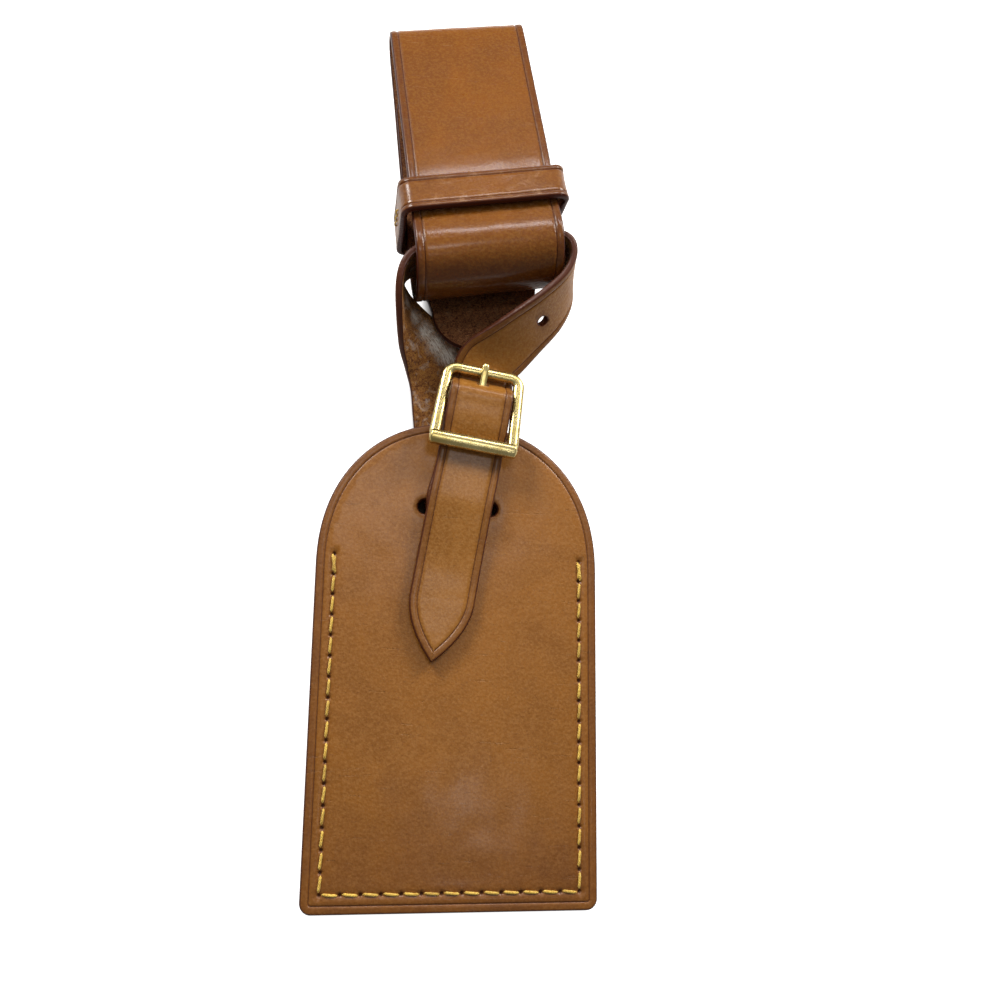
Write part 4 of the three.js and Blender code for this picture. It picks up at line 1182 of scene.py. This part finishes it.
# ---- Stitches ----
def stitch_tree():
    """Twisted thread over each edge of the input mesh, bowed out along its 'up' attribute."""
    tree = bpy.data.node_groups.new("saddle_stitches", "GeometryNodeTree")
    face = tree.interface
    face.new_socket("Geometry", in_out="INPUT", socket_type="NodeSocketGeometry")
    sizes = (("Ply Radius", 0.0002), ("Twist Radius", 0.00017), ("Turns", 2.5), ("Rise", 0.0005))
    for label, value in sizes:
        face.new_socket(label, in_out="INPUT", socket_type="NodeSocketFloat").default_value = value
    face.new_socket("Thread", in_out="INPUT", socket_type="NodeSocketMaterial")
    face.new_socket("Geometry", in_out="OUTPUT", socket_type="NodeSocketGeometry")
    given = node(tree, "NodeGroupInput")
    out = node(tree, "NodeGroupOutput")
    to_curve = node(tree, "GeometryNodeMeshToCurve")
    wire(tree, given.outputs["Geometry"], to_curve.inputs[0])
    resample = node(tree, "GeometryNodeResampleCurve")
    wire(tree, to_curve.outputs[0], resample.inputs["Curve"])
    resample.inputs["Count"].default_value = 19
    share = node(tree, "GeometryNodeSplineParameter").outputs["Factor"]
    up = node(tree, "GeometryNodeInputNamedAttribute", data_type="FLOAT_VECTOR")
    up.inputs["Name"].default_value = "up"
    centred = math_node(tree, "SUBTRACT", math_node(tree, "MULTIPLY", share, 2.0), 1.0)
    from_middle = math_node(tree, "ABSOLUTE", centred)
    bow = math_node(tree, "SUBTRACT", 1.0, math_node(tree, "POWER", from_middle, 4.0))
    rise = math_node(tree, "MULTIPLY", bow, given.outputs["Rise"])
    lift = node(tree, "ShaderNodeVectorMath", operation="SCALE")
    wire(tree, up.outputs["Attribute"], lift.inputs[0])
    wire(tree, rise, lift.inputs["Scale"])
    bowed = node(tree, "GeometryNodeSetPosition")
    wire(tree, resample.outputs[0], bowed.inputs["Geometry"])
    wire(tree, lift.outputs[0], bowed.inputs["Offset"])
    tangent = node(tree, "GeometryNodeInputTangent").outputs[0]
    sideways = node(tree, "ShaderNodeVectorMath", operation="CROSS_PRODUCT")
    wire(tree, tangent, sideways.inputs[0])
    wire(tree, up.outputs["Attribute"], sideways.inputs[1])
    join = node(tree, "GeometryNodeJoinGeometry")
    circle = node(tree, "GeometryNodeCurvePrimitiveCircle")
    circle.inputs["Resolution"].default_value = 7
    wire(tree, given.outputs["Ply Radius"], circle.inputs["Radius"])
    for ply in range(3):
        turn = math_node(tree, "MULTIPLY", share, given.outputs["Turns"])
        turn = math_node(tree, "ADD", turn, ply / 3)
        angle = math_node(tree, "MULTIPLY", turn, 2 * math.pi)
        across = math_node(tree, "MULTIPLY", math_node(tree, "COSINE", angle), given.outputs["Twist Radius"])
        above = math_node(tree, "MULTIPLY", math_node(tree, "SINE", angle), given.outputs["Twist Radius"])
        a = node(tree, "ShaderNodeVectorMath", operation="SCALE")
        wire(tree, sideways.outputs[0], a.inputs[0])
        wire(tree, across, a.inputs["Scale"])
        b = node(tree, "ShaderNodeVectorMath", operation="SCALE")
        wire(tree, up.outputs["Attribute"], b.inputs[0])
        wire(tree, above, b.inputs["Scale"])
        both = node(tree, "ShaderNodeVectorMath", operation="ADD")
        wire(tree, a.outputs[0], both.inputs[0])
        wire(tree, b.outputs[0], both.inputs[1])
        strand = node(tree, "GeometryNodeSetPosition")
        wire(tree, bowed.outputs[0], strand.inputs["Geometry"])
        wire(tree, both.outputs[0], strand.inputs["Offset"])
        skin = node(tree, "GeometryNodeCurveToMesh")
        wire(tree, strand.outputs[0], skin.inputs["Curve"])
        wire(tree, circle.outputs[0], skin.inputs["Profile Curve"])
        skin.inputs["Fill Caps"].default_value = True
        wire(tree, skin.outputs[0], join.inputs[0])
    shade = node(tree, "GeometryNodeSetShadeSmooth")
    wire(tree, join.outputs[0], shade.inputs["Geometry"])
    real = node(tree, "GeometryNodeRealizeInstances")
    wire(tree, shade.outputs[0], real.inputs[0])
    coloured = node(tree, "GeometryNodeSetMaterial")
    wire(tree, real.outputs[0], coloured.inputs["Geometry"])
    wire(tree, given.outputs["Thread"], coloured.inputs["Material"])
    wire(tree, coloured.outputs[0], out.inputs[0])
    return tree


saddle_stitches = stitch_tree()


def stitches(name, runs, body, replaced, size=1.0, turns=2.5):
    """runs: (start, end, up) for each visible length of thread, in the part's millimetres."""
    points = []
    edges = []
    ups = []
    for start, end, up in runs:
        edges.append((len(points), len(points) + 1))
        points += [tuple(place(start)), tuple(place(end))]
        ups += [up, up]
    mesh = bpy.data.meshes.new(name)
    mesh.from_pydata(points, edges, [])
    layer = mesh.attributes.new("up", "FLOAT_VECTOR", "POINT")
    layer.data.foreach_set("vector", [c for u in ups for c in u])
    piece = bpy.data.objects.new(name, mesh)
    bpy.context.collection.objects.link(piece)
    modifier = piece.modifiers.new("stitches", "NODES")
    modifier.node_group = saddle_stitches
    values = {"Ply Radius": 0.00018 * size, "Twist Radius": 0.00016 * size, "Turns": turns,
              "Rise": 0.00062 * size, "Thread": thread}
    for item in saddle_stitches.interface.items_tree:
        if item.in_out == "INPUT" and item.name in values:
            modifier[item.identifier] = values[item.name]
    piece.data.update()
    applied(piece)
    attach(piece, body)
    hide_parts(replaced)
    return piece


def seam_runs(level, up_sign):
    up = tag_point(0, 0, up_sign) - tag_point(0, 0, 0)
    runs = []
    pairs = list(zip(needles, needles[1:]))
    for i, (a, b) in enumerate(pairs):
        d = Vector((b[0] - a[0], b[1] - a[1])).normalized()
        side = Vector((-d.y, d.x))
        slant = 0.16 + rng.uniform(-0.04, 0.04)
        gap = 0.52
        s = Vector(a) + d * gap + side * slant
        e = Vector(b) - d * gap - side * slant
        runs.append((tag_point(s.x, s.y, level), tag_point(e.x, e.y, level), up))
        if i in (0, len(pairs) - 1):
            # Back stitch that locks the end of the seam.
            s = Vector(a) + d * 0.2 - side * 0.42
            e = Vector(b) - d * 0.2 + side * 0.36
            runs.append((tag_point(s.x, s.y, level + 0.18 * up_sign),
                         tag_point(e.x, e.y, level + 0.18 * up_sign), up))
    return runs


stitches("seam_stitches_front", seam_runs(TAG_T - 0.62, 1), "tag", "seam_thread_a")
stitches("seam_stitches_back", seam_runs(0.84, -1), "tag", "seam_thread_b")

fold_y = -3.6
fold_xs = (-5.4, -1.8, 1.8, 5.4)
fold_runs = []
for x0, x1 in zip(fold_xs, fold_xs[1:]):
    fold_runs.append((at_buckle(x0 + 0.2, fold_y, 9.95), at_buckle(x1 - 0.2, fold_y, 9.95), EZ))
    fold_runs.append((at_buckle(x0 + 0.2, fold_y, 7.1), at_buckle(x1 - 0.2, fold_y, 7.1), -EZ))
stitches("fold_stitches", fold_runs, "strap", "fold_thread", size=0.5, turns=2.0)

wall_runs = []
wall_zs = (7.4, 10.2, 13.0, 15.8)
for z0, z1 in zip(wall_zs, wall_zs[1:]):
    outside = -keeper_side - KEEPER_T / 2 + 0.15
    wall_runs.append((at_loop(outside, KEEPER_A, z0 + 0.2), at_loop(outside, KEEPER_A, z1 - 0.2),
                      -LOOP_ACROSS))
stitches("keeper_stitches", wall_runs, "keeper", "keeper_thread", size=0.7, turns=2.0)


# ---- Name card ----
def name_card():
    low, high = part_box("name_card")
    y0 = low.y / MM - SHIFT_Y + 0.1
    y1 = high.y / MM - SHIFT_Y - 0.05
    x1 = high.x / MM
    r = 2.0
    rim = []
    corners = ((x1 - r, y0 + r, -90), (x1 - r, y1 - r, 0), (-x1 + r, y1 - r, 90), (-x1 + r, y0 + r, 180))
    for cx, cy, start in corners:
        for i in range(9):
            a = math.radians(start + 90 * i / 8)
            rim.append((cx + r * math.cos(a), cy + r * math.sin(a)))
    points = []
    n = len(rim)
    for z, shrink in ((TAG_T / 2 - 0.14, 0.12), (TAG_T / 2 - 0.08, 0.0), (TAG_T / 2 + 0.08, 0.0),
                      (TAG_T / 2 + 0.14, 0.12)):
        for x, y in rim:
            points.append(tag_point(x - math.copysign(shrink, x), y - math.copysign(shrink, y - 40), z))
    faces = [tuple(reversed(range(n)))]
    for level in range(3):
        for j in range(n):
            k = (j + 1) % n
            a = level * n
            faces.append((a + j, a + k, a + n + k, a + n + j))
    faces.append(tuple(3 * n + j for j in range(n)))
    piece = new_piece("name_card_sheet", points, faces, card, smooth=False)
    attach(piece, "card")
    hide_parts("name_card")


name_card()


# ---- Buckle ----
def face_outward(piece, weld=0.0):
    bm = bmesh.new()
    bm.from_mesh(piece.data)
    if weld:
        bmesh.ops.remove_doubles(bm, verts=bm.verts, dist=weld)
    bmesh.ops.recalc_face_normals(bm, faces=bm.faces)
    bm.to_mesh(piece.data)
    bm.free()


def swept(name, path, section, material, closed, body, replaced):
    """path: (centre, side, up, half_side, half_up); section: unit outline."""
    points = []
    for centre, side, up, half_side, half_up in path:
        for u, v in section:
            points.append(centre + side * (u * half_side) + up * (v * half_up))
    n = len(section)
    rows = len(path)
    faces = []
    for i in range(rows if closed else rows - 1):
        a = i * n
        b = ((i + 1) % rows) * n
        for j in range(n):
            k = (j + 1) % n
            faces.append((a + j, a + k, b + k, b + j))
    if not closed:
        faces.append(tuple(reversed(range(n))))
        faces.append(tuple((rows - 1) * n + j for j in range(n)))
    piece = new_piece(name, points, faces, material)
    face_outward(piece)
    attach(piece, body)
    if replaced:
        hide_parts(replaced)
    return piece


def rounded_section(power, count=28):
    out = []
    for i in range(count):
        a = 2 * math.pi * i / count
        c = math.cos(a)
        s = math.sin(a)
        u = math.copysign(abs(c) ** (2 / power), c)
        v = math.copysign(abs(s) ** (2 / power), s)
        out.append((u, v))
    return out


def frame_path():
    corners = (
        (-FRAME_BOTTOM_W / 2 + RAIL_HALF, LOWER_BAR_Y, 1.5, 180),
        (FRAME_BOTTOM_W / 2 - RAIL_HALF, LOWER_BAR_Y, 1.5, 270),
        (FRAME_TOP_W / 2 - RAIL_HALF, UPPER_BAR_Y, 2.4, 0),
        (-FRAME_TOP_W / 2 + RAIL_HALF, UPPER_BAR_Y, 2.4, 90),
    )
    flat = []
    for x, y, r, start in corners:
        cx = x - math.copysign(r, x)
        cy = y - math.copysign(r, y)
        for i in range(13):
            a = math.radians(start + 90 * i / 12)
            flat.append(Vector((cx + r * math.cos(a), cy + r * math.sin(a))))
    dense = []
    n = len(flat)
    for i, p in enumerate(flat):
        q = flat[(i + 1) % n]
        steps = max(1, round((q - p).length / 0.5))
        dense += [p.lerp(q, k / steps) for k in range(steps)]
    path = []
    n = len(dense)
    for i, p in enumerate(dense):
        d = (dense[(i + 1) % n] - dense[i - 1]).normalized()
        side = EX * -d.y + EY * d.x
        slope = (UPPER_BAR_Z - LOWER_BAR_Z) / (UPPER_BAR_Y - LOWER_BAR_Y)
        side = side + EZ * (slope * d.x)
        up = (EZ - EY * slope).normalized()
        centre = at_buckle(p.x, p.y, rail_z(p.y))
        upper = smooth_step(p.y, UPPER_BAR_Y - 2.5, UPPER_BAR_Y)
        path.append((centre, side.normalized(), up, RAIL_HALF + 0.08 * (1 - upper), 1.0))
    return path


swept("buckle_rim", frame_path(), rounded_section(2.3), buckle_brass, True,
      "buckle", "buckle_frame")


def bar_path(y, z, reach, radius, end_round, swell=1.0):
    path = []
    steps = 14
    for i in range(steps + 1):
        a = math.pi / 2 * i / steps
        path.append((-reach - end_round * math.cos(a), max(0.02, math.sin(a)) * radius))
    for i in range(1, 12):
        path.append((-reach + 2 * reach * i / 12, radius))
    for i in range(steps + 1):
        a = math.pi / 2 * (1 - i / steps)
        path.append((reach + end_round * math.cos(a), max(0.02, math.sin(a)) * radius))
    return [(at_buckle(x, y, z), EY, EZ, r * swell, r) for x, r in path]


lower_bar = bar_path(LOWER_BAR_Y, LOWER_BAR_Z, FRAME_BOTTOM_W / 2 - BAR_END, LOWER_BAR_R, BAR_END, BAR_SWELL)
swept("buckle_lower_bar", lower_bar, rounded_section(2.25, 32), buckle_brass, False, "buckle", None)
centre_reach = (FRAME_TOP_W + FRAME_BOTTOM_W) / 4 - RAIL_HALF
swept("buckle_centre_bar", bar_path(CENTRE_BAR_Y, CENTRE_BAR_Z, centre_reach, CENTRE_BAR_R, 0.3),
      rounded_section(2.0, 24), buckle_brass, False, "buckle", None)
for label, side in (("left", -1), ("right", 1)):
    post = []
    top = rail_z(CENTRE_BAR_Y) + 0.3
    low = CENTRE_BAR_Z - CENTRE_BAR_R
    for i in range(9):
        f = i / 8
        swell = 1 - 0.25 * (2 * f - 1) ** 4
        z = low + (top - low) * f
        middle = at_buckle(side * (centre_reach + 0.05), CENTRE_BAR_Y, z)
        post.append((middle, EX, EY, 0.66 * swell, 0.9 * swell))
    swept(f"buckle_post_{label}", post, rounded_section(3.0, 20), buckle_brass, False,
          "buckle", None)


def prong_path():
    radius = CENTRE_BAR_R + 0.1 + PRONG_T / 2
    path = []
    for i in range(37):
        a = math.radians(15 - 285 * i / 36)
        out_dir = EY * math.cos(a) + EZ * math.sin(a)
        centre = at_buckle(0, CENTRE_BAR_Y, CENTRE_BAR_Z) + out_dir * radius
        path.append((centre, EX, out_dir, PRONG_HALF, PRONG_T / 2))
    start = at_buckle(0, CENTRE_BAR_Y, CENTRE_BAR_Z) + EZ * radius
    length = PRONG_TIP - CENTRE_BAR_Y
    for i in range(1, 41):
        f = i / 40
        d = length * f
        tip = smooth_step(d, length - 1.3, length)
        round_end = math.sqrt(max(0.0, 1 - tip ** 3)) if tip > 0 else 1.0
        droop = -0.22 * smooth_step(d, length - 2.5, length)
        centre = start + PRONG_WAY * d + PRONG_UP * droop
        path.append((centre, EX, PRONG_UP, PRONG_HALF * (0.42 + 0.58 * round_end) * (1 - 0.10 * f),
                     PRONG_T / 2 * (0.35 + 0.65 * round_end)))
    return path


swept("prong_tongue", prong_path(), rounded_section(3.4, 28), buckle_brass, False,
      "prong", "buckle_prong")


# ---- Snap fastener ----
def turned(name, profile, replaced):
    """A disc turned about the snap's axis: profile of (radius, height)."""
    dense = []
    for (r0, z0), (r1, z1) in zip(profile, profile[1:]):
        steps = max(1, round(math.hypot(r1 - r0, z1 - z0) / 0.5))
        dense += [(r0 + (r1 - r0) * k / steps, z0 + (z1 - z0) * k / steps) for k in range(steps)]
    dense.append(profile[-1])
    segments = 72
    centre = at_loop(0, SNAP_A, 0)
    points = []
    rows = []
    for r, z in dense:
        if r < 1e-6:
            rows.append([len(points)] * segments)
            points.append(V(centre.x, centre.y, z))
            continue
        rows.append([len(points) + k for k in range(segments)])
        for k in range(segments):
            a = 2 * math.pi * k / segments
            points.append(V(centre.x + r * math.cos(a), centre.y + r * math.sin(a), z))
    faces = []
    closed = dense[0][0] > 1e-6
    pairs = list(zip(rows, rows[1:] + rows[:1])) if closed else list(zip(rows, rows[1:]))
    for a, b in pairs:
        if a is b or (closed and a == b):
            continue
        for k in range(segments):
            m = (k + 1) % segments
            corners = []
            for index in (a[k], a[m], b[m], b[k]):
                if index not in corners:
                    corners.append(index)
            if len(corners) > 2:
                faces.append(tuple(corners))
    piece = new_piece(name, points, faces, snap_brass)
    face_outward(piece, 1e-7)
    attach(piece, "loop")
    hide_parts(replaced)


back_low = back_z(SNAP_A) - LOOP_T / 2
back_high = back_z(SNAP_A) + LOOP_T / 2
inner_low = inner_z - LOOP_T / 2
inner_high = inner_z + LOOP_T / 2
cap_top = back_low - 0.06
turned("snap_cap_dome", [(0, cap_top - 0.95), (2.2, cap_top - 0.93), (SNAP_R - 1.6, cap_top - 0.82),
                         (SNAP_R - 0.7, cap_top - 0.62), (SNAP_R - 0.15, cap_top - 0.32),
                         (SNAP_R, cap_top - 0.1), (SNAP_R - 0.1, cap_top), (1.5, cap_top),
                         (1.5, back_high + 0.3), (0, back_high + 0.3)], "snap_cap")
turned("snap_socket_ring", [(1.6, back_high + 0.06), (4.6, back_high + 0.06), (4.6, back_high + 0.9),
                            (4.4, back_high + 1.1), (4.0, back_high + 1.2), (3.2, back_high + 1.2),
                            (2.9, back_high + 1.0), (2.9, back_high + 0.4), (1.6, back_high + 0.4)],
       "snap_socket")
turned("snap_stud_knob", [(0, back_high + 0.5), (1.9, back_high + 0.52), (2.3, back_high + 0.62),
                          (2.6, back_high + 0.9), (2.5, back_high + 1.1), (2.1, back_high + 1.4),
                          (4.3, back_high + 1.42), (4.4, back_high + 1.55), (4.4, inner_low - 0.06),
                          (0, inner_low - 0.06)], "snap_stud")
turned("snap_post_cap", [(0, inner_low), (1.5, inner_low),
                         (1.5, inner_high + 0.06), (4.2, inner_high + 0.06),
                         (4.2, inner_high + 0.25), (4.0, inner_high + 0.45), (3.2, inner_high + 0.64),
                         (0, inner_high + 0.7)], "snap_post")


# ---- Floor, lights and camera ----
def studio():
    floor_mesh = bpy.data.meshes.new("floor")
    z = cad_box[0].z - 0.0001
    floor_mesh.from_pydata([(-3, -3, z), (3, -3, z), (3, 3, z), (-3, 3, z)], [], [(0, 1, 2, 3)])
    floor = bpy.data.objects.new("floor", floor_mesh)
    bpy.context.collection.objects.link(floor)
    paper = bpy.data.materials.new("floor_paper")
    tree, shader = tree_of(paper)
    shader.inputs["Base Color"].default_value = (0.92, 0.92, 0.92, 1.0)
    shader.inputs["Roughness"].default_value = 0.9
    shader.inputs["Specular IOR Level"].default_value = 0.1
    shader.inputs["Emission Color"].default_value = (1.0, 1.0, 1.0, 1.0)
    # The paper glows evenly, except in painted shadow boxes beneath the tag, strap and loop, where the glow
    # stops and the paper is painted dark.
    where = node(tree, "ShaderNodeTexCoord").outputs["Object"]
    shaded = 0.0
    for cx, cy, turned_by, half_x, half_y, soft in (
            (0.0, 46.0, 0.0, 24.0, 38.0, 5.0), (0.0, 92.0, 0.0, 14.0, 6.0, 5.0),
            (-4.0, 118.0, 5.0, 5.0, 12.0, 5.0), (1.3, 174.5, 6.1, 11.5, 34.5, 4.5)):
        local = node(tree, "ShaderNodeMapping", vector_type="TEXTURE")
        wire(tree, where, local.inputs["Vector"])
        local.inputs["Location"].default_value = place(V(cx, cy, 0))
        local.inputs["Rotation"].default_value = (0.0, 0.0, math.radians(turned_by))
        split = node(tree, "ShaderNodeSeparateXYZ")
        wire(tree, local.outputs[0], split.inputs[0])
        inside = 1.0
        for axis, half in ((0, half_x), (1, half_y)):
            away = math_node(tree, "ABSOLUTE", split.outputs[axis])
            within = spread(tree, away, half * MM, (half + soft) * MM, 1.0, 0.0)
            inside = within if inside == 1.0 else math_node(tree, "MULTIPLY", inside, within)
        shaded = inside if shaded == 0.0 else math_node(tree, "MAXIMUM", shaded, inside)
    glow = math_node(tree, "MULTIPLY", math_node(tree, "SUBTRACT", 1.0, shaded), FLOOR_GLOW)
    seen = node(tree, "ShaderNodeLightPath").outputs["Is Camera Ray"]
    wire(tree, math_node(tree, "MULTIPLY", glow, seen), shader.inputs["Emission Strength"])
    painted_floor_shadow = mix_colour(tree, shaded, (0.92, 0.92, 0.92, 1.0), (0.12, 0.09, 0.07, 1.0))
    wire(tree, painted_floor_shadow, shader.inputs["Base Color"])
    floor_mesh.materials.append(paper)
    world = bpy.data.worlds.new("studio")
    world.use_nodes = True
    world.node_tree.nodes["Background"].inputs[0].default_value = (1.0, 0.99, 0.97, 1.0)
    world.node_tree.nodes["Background"].inputs[1].default_value = 0.22
    bpy.context.scene.world = world

    def lamp(name, where, aim, size, watts, colour):
        light = bpy.data.lights.new(name, "AREA")
        light.shape = "ELLIPSE"
        light.size = size[0]
        light.size_y = size[1]
        light.energy = watts
        light.color = colour
        obj = bpy.data.objects.new(name, light)
        bpy.context.collection.objects.link(obj)
        obj.location = where
        obj.rotation_euler = (Vector(aim) - Vector(where)).to_track_quat("-Z", "Y").to_euler()

    lamp("right_panel", (0.42, 0.40, 0.34), (0, 0.04, 0), (0.24, 0.24), 3.4, (1.0, 0.97, 0.92))
    lamp("left_panel", (-0.36, 0.46, 0.38), (0, 0.04, 0), (0.26, 0.26), 4.0, (1.0, 0.98, 0.95))
    lamp("ceiling_panel", (0.04, 0.15, 1.0), (0, 0, 0), (0.30, 0.16), 0.75, (1.0, 1.0, 1.0))
    lamp("ceiling_spot", (0.134, -0.213, 1.0), (0, 0, 0), (0.035, 0.035), 0.16, (1.0, 1.0, 1.0))
    lamp("back_strip", (0.085, 0.475, 0.425), (0.0, 0.045, 0.02), (0.26, 0.085), 0.8, (1.0, 0.98, 1.0))


studio()
camera_data = bpy.data.cameras.new("camera")
camera_data.sensor_width = 36.0
camera_data.lens = CAMERA_LENS
camera_data.clip_start = 0.01
camera = bpy.data.objects.new("camera", camera_data)
bpy.context.collection.objects.link(camera)
turn = Matrix.Identity(4)
for degrees, axis in zip(CAMERA_TURNS, "XYZ"):
    turn = turn @ Matrix.Rotation(math.radians(degrees), 4, axis)
camera.matrix_world = Matrix.Translation(place(V(*CAMERA_AT))) @ turn
bpy.context.scene.camera = camera
bpy.context.scene.view_settings.view_transform = "Standard"
